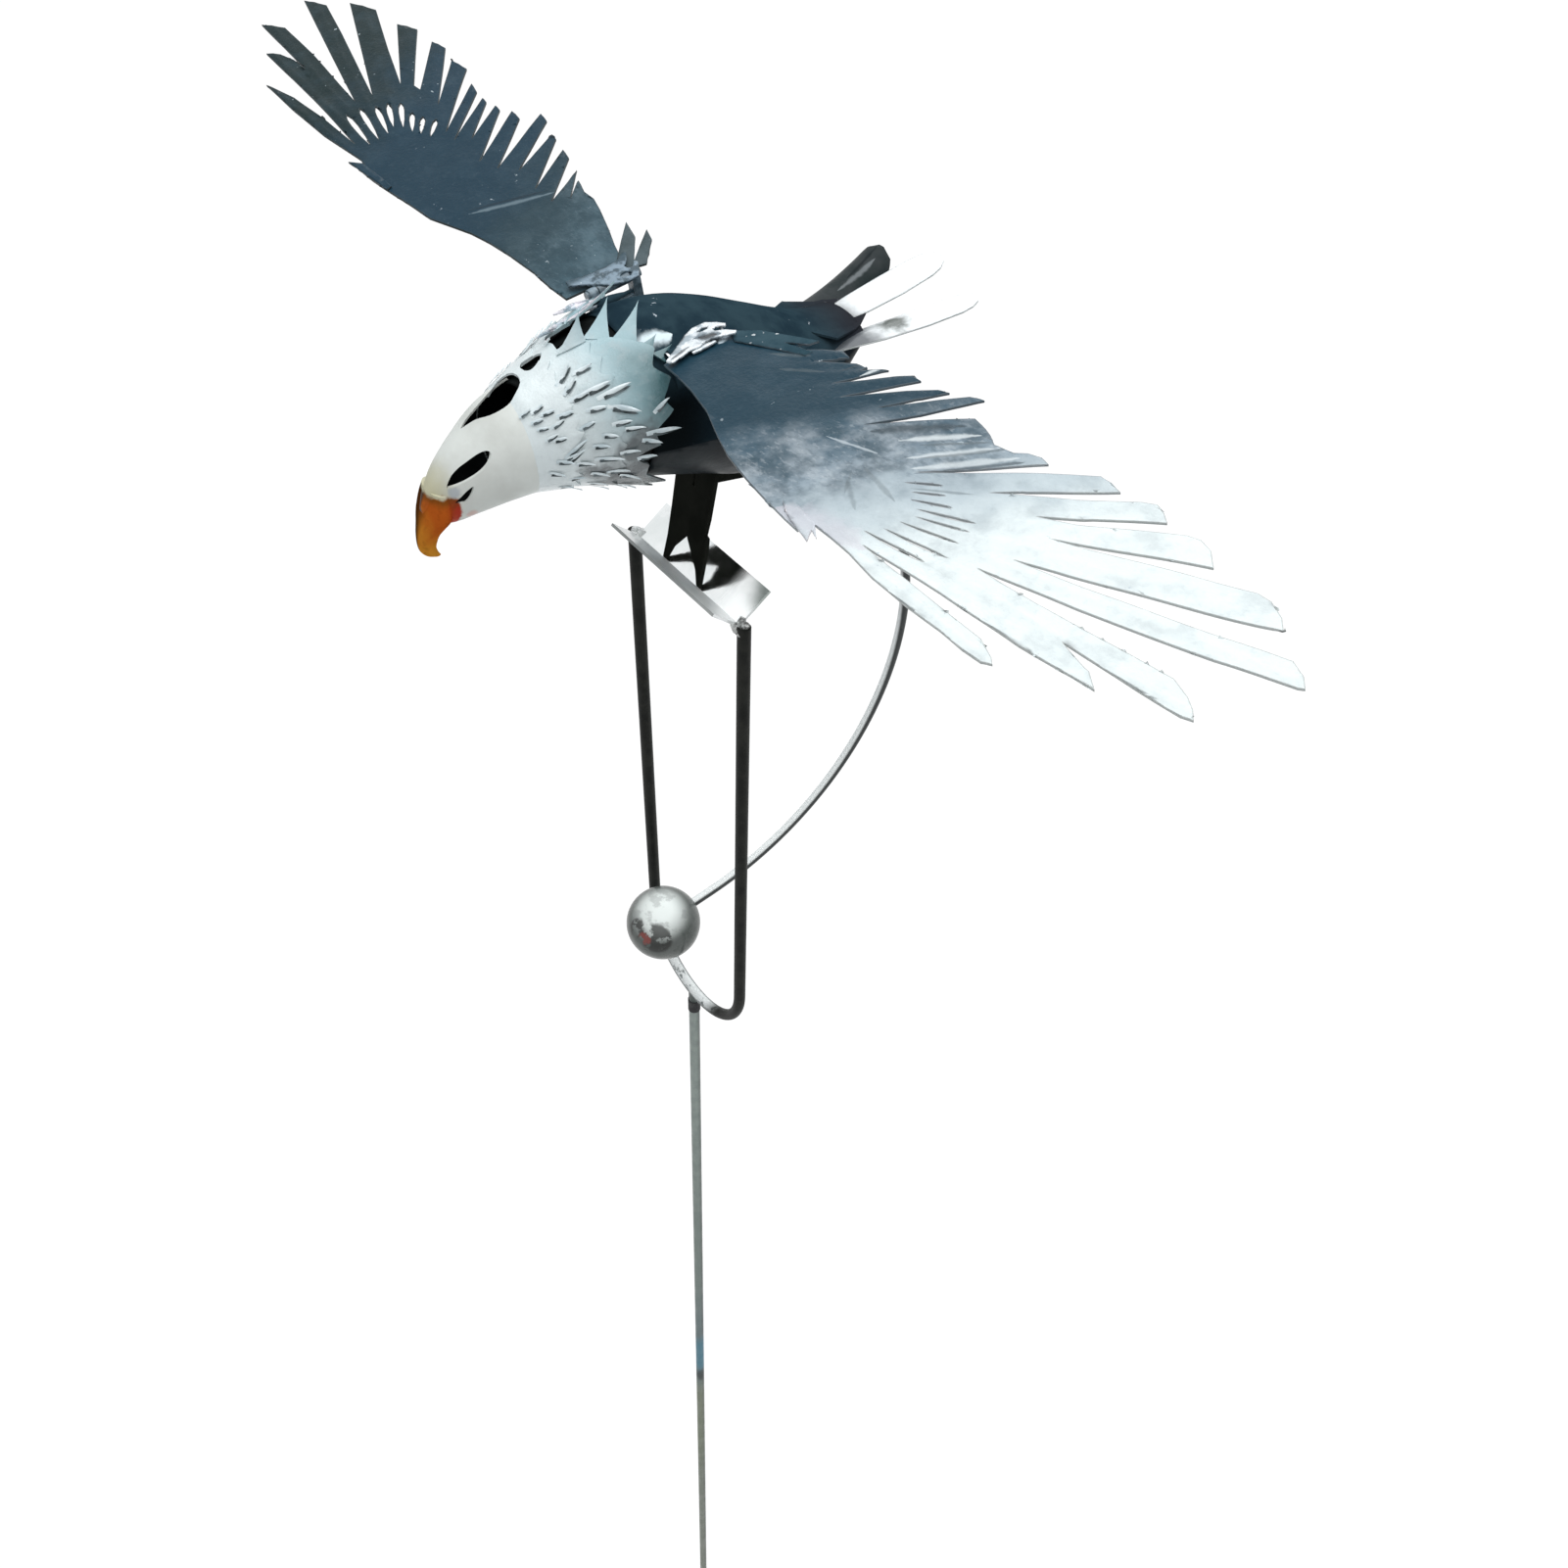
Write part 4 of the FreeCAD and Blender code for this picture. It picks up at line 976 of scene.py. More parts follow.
blade_zinc = finish("torn blade zinc", speckled((0.78, 0.75, 0.8), (0.42, 0.52, 0.58), 160, 0.45,
                    0.62), cloudy(0.15, 0.3), bump=0.3)
add_piece("far_shoulder_blades", bm, "rocker", "cape_blue", [blade_zinc, slate], (), 50,
          0.5 * MM, even=False)

# %% [markdown]
# ## Lifted feather tongues
#
# Small leaf-shaped tongues are cut into the neck sheet and bent out. Each leaves a dark slot
# under it. One function lays a dark leaf on the surface for the slot and a bright one that
# rises from it to a lifted tip; a table places the larger ones and chance fills the rest.

# %% One leaf
def leaf_width(share):
    """Full at the open root, bulging slightly, and pointed at the tip."""
    return max(0.0, 1 - share) ** 0.62 * (0.75 + 0.9 * share)


def add_leaf(bm, tip_fwd, tip_angle, length, width, lift, twist, raised, material, shift=0.0,
             rows=7):
    """A leaf on the neck from its root to its tip; raised keeps it off the surface."""
    grid = bmesh.ops.create_grid(bm, x_segments=4, y_segments=rows, size=0.5)["verts"]
    radius = along_table(NECK_LINE, tip_fwd, 2)
    for v in grid:
        side, share = v.co.x * 2, v.co.y + 0.5
        half = width / 2 * leaf_width(share)
        aside = side * half + shift
        fwd = tip_fwd + length * (1 - share) * math.cos(twist) + aside * math.sin(twist)
        drift = length * (1 - share) * math.sin(twist)
        angle = tip_angle + math.degrees((aside * math.cos(twist) - drift) / radius)
        height = raised + lift * share ** 1.7 - 0.35 * lift * side ** 2 * share
        v.co = neck_spot(fwd, angle, height)
    paint_faces(grid, material)


print("leaf widths", [round(leaf_width(k / 4), 2) for k in range(5)])

# %% Tongues
TONGUES = [  # tip: forward, degrees from the top; length, width, lift, twist in degrees
    (36.4, 52, 11, 3.6, 2.2, -6), (36, 70, 10, 3.8, 2.4, 26), (39.4, 74.5, 6, 2.8, 1.6, 0),
    (35.4, 80, 7, 2.6, 2.2, 0), (22.6, 84, 11, 3.6, 2.4, -6), (25.5, 66, 6.5, 2.8, 2.6, -40),
    (29.8, 92, 6, 3.4, 2.0, 10), (31.5, 101, 6, 3.6, 1.8, -20), (42.6, 47, 8.5, 3.6, 2.0, 0),
    (45.8, 31.5, 6, 3, 1.8, 8), (52, 22.5, 7, 3.2, 1.8, -30), (52.6, 34, 5.5, 3, 1.6, -28),
    (55.4, 78.5, 8.5, 2.8, 2.0, -34), (56.6, 86, 6.5, 2.8, 1.8, -38), (60.4, 96, 5.6, 2.6, 1.6, 20),
    (58.4, 88, 5, 2.2, 1.4, -20), (63.2, 108, 5.6, 2.4, 1.5, 24), (43, 101.5, 9, 3.2, 1.8, 6),
    (48, 89, 5, 2.8, 1.6, 10), (53, 103, 6, 2.6, 1.4, 14), (46.4, 61, 6, 3, 1.6, 10),
    (50.2, 47, 6, 3, 1.4, 0), (57, 55, 5.5, 2.8, 1.3, 8), (60.8, 57, 4.6, 2.4, 1.2, -14),
    (62.6, 47, 4.4, 2.4, 1.2, 10), (65.4, 38, 4.2, 2.4, 1.2, -8), (67, 49, 4, 2.2, 1.1, 6),
    (64.2, 66, 4.2, 2.2, 1.2, -10), (61.4, 72, 4.4, 2.4, 1.3, 8), (69.6, 36, 3.8, 2, 1.0, 0),
    (66.2, 58, 3.8, 2, 1.0, 14), (51.4, 68, 5, 2.6, 1.3, -12), (44.6, 83, 5, 2.6, 1.4, 16),
    (37.6, 96, 6, 3, 1.8, -10), (47, 118, 6, 3.2, 1.5, 12), (40.4, 113, 7, 3.4, 1.8, -14),
    (55.6, 117, 5, 2.8, 1.3, -8), (35, 124, 7, 3.4, 1.8, 10), (45.6, 133, 6.5, 3.2, 1.6, 0),
    (58, 133, 5, 2.8, 1.2, 8), (33.4, 141, 7, 3.4, 1.8, -8), (41.4, 151, 6.5, 3.2, 1.6, 6),
    (52, 150, 5.5, 3, 1.4, -6), (31.4, 160, 7, 3.4, 1.8, 6), (45, 169, 6, 3.2, 1.5, -4),
    (57.4, 168, 5, 2.8, 1.2, 4)]
bm = bmesh.new()
chance = random.Random(5)
for fwd, angle, length, width, lift, twist in TONGUES:
    for side in (1, -1):
        jog = 0 if side == 1 else chance.uniform(-1.6, 1.6)
        lean = math.radians(twist) * side
        at = (fwd + jog, side * (angle + 2 * jog))
        slim = width * 0.66
        add_leaf(bm, *at, length * 0.9, slim * 0.8, 0, lean, 0.34, 1, side * slim * 0.42)
        add_leaf(bm, *at, length * 1.1, slim, lift, lean, 0.1, 0)
bmesh.ops.recalc_face_normals(bm, faces=bm.faces)
tip_paint = finish("lifted tip paint", speckled((0.66, 0.74, 0.76), (0.42, 0.52, 0.56), 130, 0.4,
                   0.7), cloudy(0.15, 0.3), bump=0.2, coat=0.3)
slot_dark = finish("slot shadow", speckled((0.03, 0.04, 0.042), (0.14, 0.17, 0.18), 160),
                   0.6, specular=0.1)
add_piece("feather_tongues", bm, "rocker", "cape_white", [tip_paint, slot_dark], (), 50)

# %% [markdown]
# ## Wings
#
# Each wing is one cut sheet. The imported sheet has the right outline, so a copy of it is
# merged, its upper side kept, and a fine lattice sliced through it. That gives points to
# press feather ridges into, and Solidify then makes the sheet again with a darker cut edge.

# %% Wing frames
HINGE = spot(10, 27, 416)
PITCH, DIHEDRAL = math.radians(9.3), math.radians(6.2)
WING = (Matrix.Translation(HINGE) @ Matrix.Rotation(PITCH, 4, "X")
        @ Matrix.Rotation(-DIHEDRAL, 4, "Y"))
FLIP = (Matrix.Translation((2 * MIDLINE * MM, 0, 0)) @ Matrix.Diagonal((-1, 1, 1, 1)))
TO_WING = {"left": WING.inverted(), "right": WING.inverted() @ FLIP}


def wing_up(side):
    """The direction that stands square on a wing, in the frame."""
    return (TO_WING[side].inverted().to_3x3() @ Vector((0, 0, 1))).normalized()


def upper_side(node, side, slack=0.6):
    """The upper faces of a packed sheet, as a bmesh in the frame."""
    bm = bmesh.new()
    bm.from_mesh(nodes[node].data)
    bmesh.ops.remove_doubles(bm, verts=bm.verts, dist=1e-7)
    bm.normal_update()
    up = wing_up(side)
    gone = [f for f in bm.faces if f.normal.dot(up) < slack]
    bmesh.ops.delete(bm, geom=gone, context="FACES")
    return bm


def lattice(bm, side, cell):
    """Slice along and across the wing, so that there are points to shape."""
    away = TO_WING[side]
    places = [away @ v.co for v in bm.verts]
    for axis in (0, 1):
        low, high = min(p[axis] for p in places), max(p[axis] for p in places)
        normal = away.inverted().to_3x3() @ Vector((axis == 0, axis == 1, 0))
        for k in range(1, int((high - low) / cell)):
            point = Vector((0, 0, 0))
            point[axis] = low + k * cell
            slice_at(bm, away.inverted() @ point, normal)


print("wings stand", [tuple(round(n, 2) for n in wing_up(side)) for side in TO_WING])

# %% [markdown]
# ## Feathers pressed into the sheet
#
# On the real sheet each feather has a faint ridge where its quill would be, and the blades
# between sag a little. Two lists place the quills, as the feathers of each wing were cut by
# hand, and the height at any point comes from the nearest one.

# %% Feather relief
QUILLS = {  # each feather's root and tip: forward, distance from the midline
    "left": [((46, 150), (52, 229)), ((43, 158), (42, 256)), ((37, 158), (31, 280)),
             ((31, 160), (6, 292)), ((27, 162), (-8, 272)), ((23, 162), (-18, 238)),
             ((19, 158), (-23, 218)), ((14, 152), (-24, 197)), ((8, 140), (-18, 174)),
             ((5, 132), (-16, 160)), ((2, 122), (-19, 148)), ((0, 108), (-29, 134)),
             ((-1, 98), (-25, 120)), ((-2, 88), (-25, 107)), ((-3, 78), (-21, 96)),
             ((-4, 68), (-18, 86)), ((-5, 60), (-19, 76))],
    "right": [((44, 160), (50, 235)), ((38, 166), (37, 258)), ((34, 168), (27, 280)),
              ((30, 169), (3, 284)), ((24, 168), (-13, 268)), ((20, 166), (-20, 239)),
              ((17, 160), (-23, 216)), ((14, 154), (-22, 197)), ((11, 148), (-17, 176)),
              ((8, 142), (-16, 165)), ((7, 132), (-17, 156)), ((6, 122), (-20, 146)),
              ((3, 112), (-29, 138)), ((1, 100), (-24, 122)), ((0, 88), (-21, 110)),
              ((-2, 82), (-16, 95)), ((-4, 78), (-14, 87))]}


def wing_plan(fwd, left):
    """Outward from the hinge and back from it, in metres."""
    return Vector((left - 27, 10 - fwd)) * MM


quills = {side: [(wing_plan(*root), wing_plan(*tip)) for root, tip in rows]
          for side, rows in QUILLS.items()}


def relief(where, side):
    """Height pressed into the sheet: a soft ridge along each quill, and wandering dents."""
    flat = Vector((where.x, where.y))
    near, share = 1.0, 0.0
    for k, (root, tip) in enumerate(quills[side]):
        run = tip - root
        t = max(0.0, min(1.0, (flat - root).dot(run) / run.length_squared))
        gap = (flat - root - run * t).length
        if gap < near:
            near, share, which = gap, t, k
    ridge = 0.3 * MM * math.exp(-(near / (1.3 * MM)) ** 2) * min(1, share * 4) if share else 0
    sag = 0.35 * MM * math.sin(which * 2.4 + (0 if side == "left" else 1.3)) * share ** 2
    dent = noise.noise(where * 38 + Vector((0, 0, 7 if side == "left" else 3))) * 0.6 * MM
    root_hold = min(1, max(0, where.x - 8 * MM) / (30 * MM))
    return (ridge + sag + dent) * root_hold


wing_skins = {}
for side in ("left", "right"):
    bm = upper_side(side + "_wing_sheet", side)
    lattice(bm, side, 2.4 * MM)
    for v in bm.verts:
        v.co += wing_up(side) * relief(TO_WING[side] @ v.co, side)
    wing_skins[side] = bm
    print(side, "wing", len(bm.faces), "faces, quills", len(quills[side]))

# %% [markdown]
# ## Wing paint
#
# The near wing fades from slate blue at the root through mottled grey to almost white at the tips;
# this fade and its mottling are a painted reflection, a glare painted into the colour. The far wing
# stays dark, with a painted sheen of paler patches near its root. Both fades run outward and a
# little forward, so they read the position along one slanting direction, made uneven by noise.

# %% Wing paint
SLANT = 0.65


def wing_colour(stops, side, mottle=0.4, worn=None, strokes=()):
    """Blend colours along the wing; stops are (mm outward, soft width, colour)."""
    slant, shift = Vector((side, -SLANT, 0)), side * MIDLINE * MM

    def past(tree, out_mm, soft, waver=2.2, size=48.0):
        return use(tree, fade, Direction=slant, Start=(out_mm - soft) * MM + shift,
                   End=(out_mm + soft) * MM + shift, Waver=soft * waver * MM,
                   Waver_Size=size)["Mask"]

    def colour(tree):
        out = stops[0][2]
        for out_mm, soft, shade in stops[1:]:
            out = mix(tree, past(tree, out_mm, soft), out, shade)
        cloud = use(tree, clouds, Size=85.0, Low=0.45, High=0.72)["Mask"]
        fine = use(tree, clouds, Size=420.0, Low=0.52, High=0.75)["Mask"]
        out = mix(tree, times(tree, cloud, mottle), out, (0.05, 0.09, 0.12))
        out = mix(tree, times(tree, fine, mottle * 0.5), out, (0.12, 0.17, 0.2))
        # painted sheen: pale and dark patches in a zone along the fade
        if worn:
            start, end, dark, pale = worn
            zone = times(tree, past(tree, start, 10), flipped(tree, past(tree, end, 12)))
            for size, low, high, shade, strength in (
                    (60.0, 0.4, 0.66, pale, 0.4), (75.0, 0.4, 0.66, dark, 0.7),
                    (260.0, 0.48, 0.66, dark, 0.3), (330.0, 0.54, 0.68, pale, 0.22)):
                patch = use(tree, clouds, Size=size, Low=low, High=high,
                            Squeeze=(1, 1 + size / 300, 1))["Mask"]
                share = times(tree, times(tree, patch, zone), strength)
                out = mix(tree, share, out, shade)
        if strokes:
            out = brushed(tree, out, strokes)
        grit = use(tree, scuffs, Size=330.0, Amount=0.55)["Mask"]
        return mix(tree, grit, out, (0.45, 0.52, 0.56))
    return colour


print("fades slant %.0f degrees forward" % math.degrees(math.atan(SLANT)))

# %% Wing finishes
slate_blue = (0.009, 0.035, 0.055)
pale, grey, ink = (0.72, 0.77, 0.78), (0.1, 0.125, 0.135), (0.03, 0.045, 0.055)
# painted reflection: the near wing's fade to near white is a painted glare, mottled where it begins
near_wing = finish("near wing paint", wing_colour(
    [(0, 0, slate_blue), (112, 12, (0.06, 0.105, 0.14)), (138, 14, (0.24, 0.3, 0.345)),
     (164, 18, (0.46, 0.53, 0.56)), (192, 18, (0.71, 0.77, 0.77))], 1, 0.2,
    (112, 160, (0.03, 0.06, 0.08), (0.5, 0.54, 0.57)),
    # painted shade in the dark strokes where feathers overlap, and painted highlights in the pale
    # ones
    [((50, 130), (46, 166), 10, (0.6, 0.56, 0.61), 0.4),
     ((7, 120.5), (-15, 142), 3.4, ink, 0.7), ((4.5, 132), (-14, 149), 2.4, pale, 0.6),
     ((2, 139), (-13, 155), 1.2, grey, 0.6), ((9, 141), (-12, 159), 2.0, pale, 0.5),
     ((7, 144), (-14, 162), 1.2, grey, 0.6), ((12, 146), (-12, 168), 2.2, pale, 0.5),
     ((13, 149), (-12, 171), 1.5, ink, 0.65), ((19, 154), (8, 172), 1.0, grey, 0.5),
     ((17, 111.5), (13, 132), 0.8, (0.5, 0.56, 0.6), 0.6),
     ((20, 134), (26, 156), 1.3, grey, 0.4), ((28, 136), (36, 150), 1.3, grey, 0.35),
     ((24, 133), (33, 141), 1.0, grey, 0.35), ((5, 35), (-1, 31.5), 2.0, (0.6, 0.7, 0.76), 0.9),
     ((-2, 55), (-10, 69), 1.6, grey, 0.5), ((2, 66), (-7, 81), 1.4, grey, 0.4),
     ((-12, 92), (-27, 96), 1.2, pale, 0.7), ((-9, 84), (-30, 88), 0.8, ink, 0.8)]),
    cloudy(0.3, 0.45), bump=0.3, specular=0.1)
# painted sheen: the far wing is paler near its root and in patches there; its two strokes are a
# painted highlight and painted shade along a ridge
far_wing = finish("far wing paint", wing_colour(
    [(0, 0, (0.05, 0.095, 0.12)), (64, 20, (0.016, 0.038, 0.05)), (100, 24, (0.007, 0.03, 0.05)),
     (205, 30, (0.007, 0.019, 0.021))], -1, 0.16,
    (20, 84, (0.02, 0.045, 0.06), (0.11, 0.165, 0.195)),
    [((31, -99), (-2, -89), 1.6, (0.12, 0.17, 0.2), 0.85),
     ((31, -101.5), (-2, -91.5), 1.0, (0.008, 0.02, 0.03), 0.7)]),
    cloudy(0.3, 0.45), bump=0.3, specular=0.1)
# the near cut edge follows the painted glare and pales toward the tips
near_edge = finish("near wing cut edge", wing_colour(
    [(0, 0, (0.02, 0.04, 0.055)), (150, 30, (0.25, 0.28, 0.3)), (190, 30, (0.46, 0.49, 0.48))],
    1, 0.1), 0.4)
pale_edge = finish("pale torn edge", speckled((0.7, 0.68, 0.71), (0.5, 0.5, 0.54), 200), 0.4)
far_edge = finish("far wing cut edge", speckled((0.012, 0.02, 0.022), (0.03, 0.042, 0.046)), 0.4,
                  specular=0.2)
print("wing finishes", [m.name for m in bpy.data.materials if "wing" in m.name])

# %% [markdown]
# ## Cut edges
#
# A shear leaves a narrow dull edge on painted sheet. Insetting the open boundary of the
# surface makes a thin band that takes a second material, and Solidify gives the same
# material to the rim.

# %% Wing skins
EDGE = 0.28 * MM


def edge_band(bm, width):
    """Give the faces along the open boundary a narrow band with material 1."""
    rim = [e for e in bm.edges if e.is_boundary]
    before = set(bm.faces)
    bmesh.ops.inset_region(bm, faces=bm.faces[:], use_boundary=True, use_even_offset=False,
                           thickness=width)
    for f in bm.faces:
        if f not in before:
            f.material_index = 1
    return len(rim)


for side, paint, edge, slot in (("left", near_wing, near_edge, "left_wing_paint"),
                                ("right", far_wing, far_edge, "right_wing_paint")):
    edge_band(wing_skins[side], EDGE)
    places = [v.co for v in wing_skins[side].verts]
    print(side, "wing spans", [round((max(p[k] for p in places) - min(p[k] for p in places)) / MM)
                               for k in range(3)], "mm")
    add_piece(side + "_wing_skin", wing_skins[side], side + "_wing", slot, [paint, edge],
              [side + "_wing_sheet"], 50, SHEET, 1, even=False)

# %% [markdown]
# ## The small pieces of each wing
#
# A bright torn tab folds over each hinge, a thin feather stands off the wrist, and a few grey
# ones lift at the root. They are made from their packed sheets as the wings are, and dented.

# %% Finishes for the tabs and loose feathers
def far_tab_colour(tree):
    """Bare and creased beside the body with painted highlights in pale flecks, painted like the
    wing farther out.
    """
    # painted highlights: pale flecks on the bare creased part
    creased = speckled((0.2, 0.27, 0.33), (0.05, 0.08, 0.1), 210, 0.45, 0.6,
                       (0.85, 0.9, 0.92), 0.9)(tree)
    painted = speckled((0.045, 0.085, 0.11), (0.03, 0.06, 0.08), 120)(tree)
    farther = use(tree, fade, Direction=Vector((-1, 0, 0)), Start=-side_at(-31),
                  End=-side_at(-35), Waver=3 * MM, Waver_Size=150.0)["Mask"]
    return mix(tree, farther, creased, painted)


def near_tab_colour(tree):
    """Bright zinc with a dark hole painted as shade, its steel-blue rim, and painted shade along
    two creases.
    """
    out = speckled((0.72, 0.77, 0.8), (0.3, 0.36, 0.4), 120, 0.5, 0.62, (0.95, 0.97, 1.0),
                   0.8)(tree)
    shadow, steel_blue = (0.012, 0.02, 0.026), (0.1, 0.14, 0.17)
    # painted shade: the dark hole and the two dark creases
    return brushed(tree, out, [((11, 28.5), (2.5, 33), 4.6, steel_blue, 0.95),
                               ((10, 29), (4, 32.6), 3.4, shadow, 1.0),
                               ((25, 34), (15, 31.5), 1.0, shadow, 0.8),
                               ((20, 27.5), (12, 24), 1.2, shadow, 0.8)])


chrome = finish("bright worn zinc", near_tab_colour, cloudy(0.12, 0.3, 200), bump=0.35,
                metallic=0.3, height=lambda tree: use(tree, dents, Size=240.0, Fine=0.2)["Height"])
far_tab = finish("far tab paint", far_tab_colour, cloudy(0.2, 0.4), bump=0.4, specular=0.2)
far_fitting = finish("far fitting zinc", speckled((0.2, 0.27, 0.32), (0.06, 0.09, 0.11), 200,
                     pale=(0.8, 0.84, 0.86), amount=0.9), cloudy(0.2, 0.4), bump=0.4)
root_grey = finish("root feather paint", speckled((0.026, 0.056, 0.074), (0.045, 0.082, 0.102),
                   70, pale=(0.6, 0.64, 0.66), amount=0.8), cloudy(0.3, 0.45), bump=0.3,
                   specular=0.0)
far_root = finish("far root feather grey", speckled((0.032, 0.052, 0.058), (0.055, 0.08, 0.09),
                  70, pale=(0.4, 0.45, 0.5), amount=0.3), cloudy(0.3, 0.45), bump=0.3,
                  specular=0.15)
print("finishes", len(bpy.data.materials))

# %% Root tabs, wrist feathers and root feathers
for side, paint, edge, tab, root, slot in (
        ("left", near_wing, near_edge, chrome, root_grey, "left_wing_paint"),
        ("right", far_wing, far_edge, far_tab, far_root, "right_wing_paint")):
    up = wing_up(side)
    for part, cell, thick, skin, slot_name, lump in (
            ("root_tab", 0.8, 0.9, tab, "bright_steel", 0.25),
            ("wrist_feather", 1.5, 0.8, paint, slot, 0.3),
            ("root_feathers", 1.5, 0.8, root, slot, 0.3)):
        bm = upper_side(side + "_" + part, side)
        lattice(bm, side, cell * MM)
        for v in bm.verts:
            inside = 0 if v.is_boundary else 1
            v.co += up * lump * MM * noise.noise(v.co * 260) * inside
        rim = pale_edge if (side, part) == ("left", "wrist_feather") else edge
        add_piece(side + "_" + part + "_skin", bm, side + "_wing", slot_name, [skin, rim],
                  [side + "_" + part], 60, thick * MM, 0 if part == "root_tab" else 1,
                  even=False)

# %% [markdown]
# ## Tail
#
# Three narrow feathers fan from under a pointed cover, each bent along its length like a
# gutter. A grid is narrowed to the feather's outline and then wrapped around an arc.

# %% A feather bent like a gutter
FEATHER_RIM = [(0.0, 0.55), (0.35, 0.9), (0.62, 1.0), (0.85, 0.94), (0.93, 0.8), (0.975, 0.55),
               (1.0, 0.1)]


def outline_width(share):
    """A feather's width at a share of its length, as a share of the widest."""
    for (k0, w0), (k1, w1) in zip(FEATHER_RIM, FEATHER_RIM[1:]):
        if share <= k1:
            return w0 + (w1 - w0) * (share - k0) / (k1 - k0)
    return FEATHER_RIM[-1][1]


def gutter(root, tip, width, curl, tilt=0.0, sag=0.0):
    """A feather bent across to a radius, and along by a sag in mm."""
    a, b = spot(*root), spot(*tip)
    along = (b - a).normalized()
    lean = math.radians(tilt)
    rough_up = Vector((math.sin(lean), 0, math.cos(lean)))
    wide = along.cross(rough_up).normalized()
    up = wide.cross(along)
    bm = bmesh.new()
    grid = bmesh.ops.create_grid(bm, x_segments=16, y_segments=40, size=0.5)["verts"]
    for v in grid:
        side, share = v.co.x * 2, v.co.y + 0.5
        reach = side * width / 2 * MM * outline_width(share)
        angle = reach / (curl * MM)
        v.co = (a + along * (b - a).length * share + wide * curl * MM * math.sin(angle)
                + up * (curl * MM * (math.cos(angle) - 1) + sag * MM * (share ** 2 - share)))
    bmesh.ops.recalc_face_normals(bm, faces=bm.faces)
    if sum((f.normal for f in bm.faces), Vector()).dot(up) < 0:
        bmesh.ops.reverse_faces(bm, faces=bm.faces)
    return bm


print("widest at", max(FEATHER_RIM, key=lambda row: row[1])[0], "of a feather's length")

# %% Tail finishes
def tail_paint(name, smudge):
    """White toward the tip and dark under the cover, with a smudge where one is given."""
    def colour(tree):
        dark = use(tree, fade, Direction=Vector((0, -1, 0)), Start=-90 * MM, End=-74 * MM,
                   Waver=16 * MM, Waver_Size=70.0)["Mask"]
        out = mix(tree, dark, (0.84, 0.88, 0.89), (0.09, 0.1, 0.11))
        if smudge:
            out = mix(tree, blot(tree, smudge, 8, 0.6, 160.0), out, (0.1, 0.115, 0.105))
        return out
    return finish(name, colour, cloudy(0.25, 0.45), bump=0.15, coat=0.2)


def tail_dark_colour(tree):
    out = speckled((0.02, 0.028, 0.029), (0.038, 0.044, 0.046), 60, pale=(0.2, 0.22, 0.23),
                   amount=0.3)(tree)
    # painted light along the curled feather: a pale stroke as a painted highlight and a dark one as
    # painted shade
    return brushed(tree, out, [((-92, -18.5), (-116, -23), 1.6, (0.2, 0.22, 0.23), 0.7),
                               ((-100, -22), (-120, -27.5), 1.2, (0.01, 0.014, 0.016), 0.8)])


tail_dark = finish("dark tail feather", tail_dark_colour, cloudy(0.25, 0.4), bump=0.2,
                   specular=0.03)
white_middle = tail_paint("middle tail feather", None)
white_left = tail_paint("left tail feather", spot(-91, 19, 390))
tail_rim = finish("tail cut edge", speckled((0.3, 0.33, 0.33), (0.55, 0.58, 0.58)), 0.4)
print("tail finishes", [m.name for m in bpy.data.materials if "tail" in m.name])

# %% Tail feathers
add_piece("tail_feather_middle_skin", gutter((-64, 0, 388.7), (-130, 0, 402.5), 17, 26), "rocker",
          "tail_white", [white_middle, tail_rim], ["tail_feather_middle"], 60, SHEET, 1)
add_piece("tail_feather_left_skin", gutter((-60, 13, 386.8), (-127, 27, 397), 17, 22, -8),
          "rocker", "tail_white", [white_left, tail_rim], ["tail_feather_left"], 60, SHEET, 1)
add_piece("tail_feather_right_skin", gutter((-60, -13, 386.8), (-121, -26, 398), 25, 9.2, 6, 14),
          "rocker", "tail_dark", [tail_dark, tail_dark], ["tail_feather_right"], 60, SHEET, 1)

# %% [markdown]
# ## Finishes on the imported pieces
#
# The rods, ball, pins, brackets and plates are already right as they are, so each only gets its
# finish. The rod and ball carry painted light: a painted highlight on the upper side and painted
# shade below, and the ball also painted reflections.

# %% Weight rod and ball
def weight_rod_colour(tree):
    """A painted highlight on the upper side near the ball, painted shade below, and darker toward
    the tail.
    """
    up = object_axes(tree)[2]
    # painted light: pale on the side facing up and forward, dark on the side facing away
    lit = turned(tree, (-0.75, -0.25, 0.6), -0.35, 0.15)
    out = mix(tree, lit, (0.035, 0.04, 0.04), (0.85, 0.88, 0.87))
    high = spread(tree, up, up_at(190), up_at(300))
    out = mix(tree, high, out, mix(tree, lit, (0.012, 0.014, 0.014), (0.06, 0.068, 0.07)))
    return mix(tree, use(tree, scuffs, Size=200.0, Amount=0.2)["Mask"], out, (0.2, 0.21, 0.21))


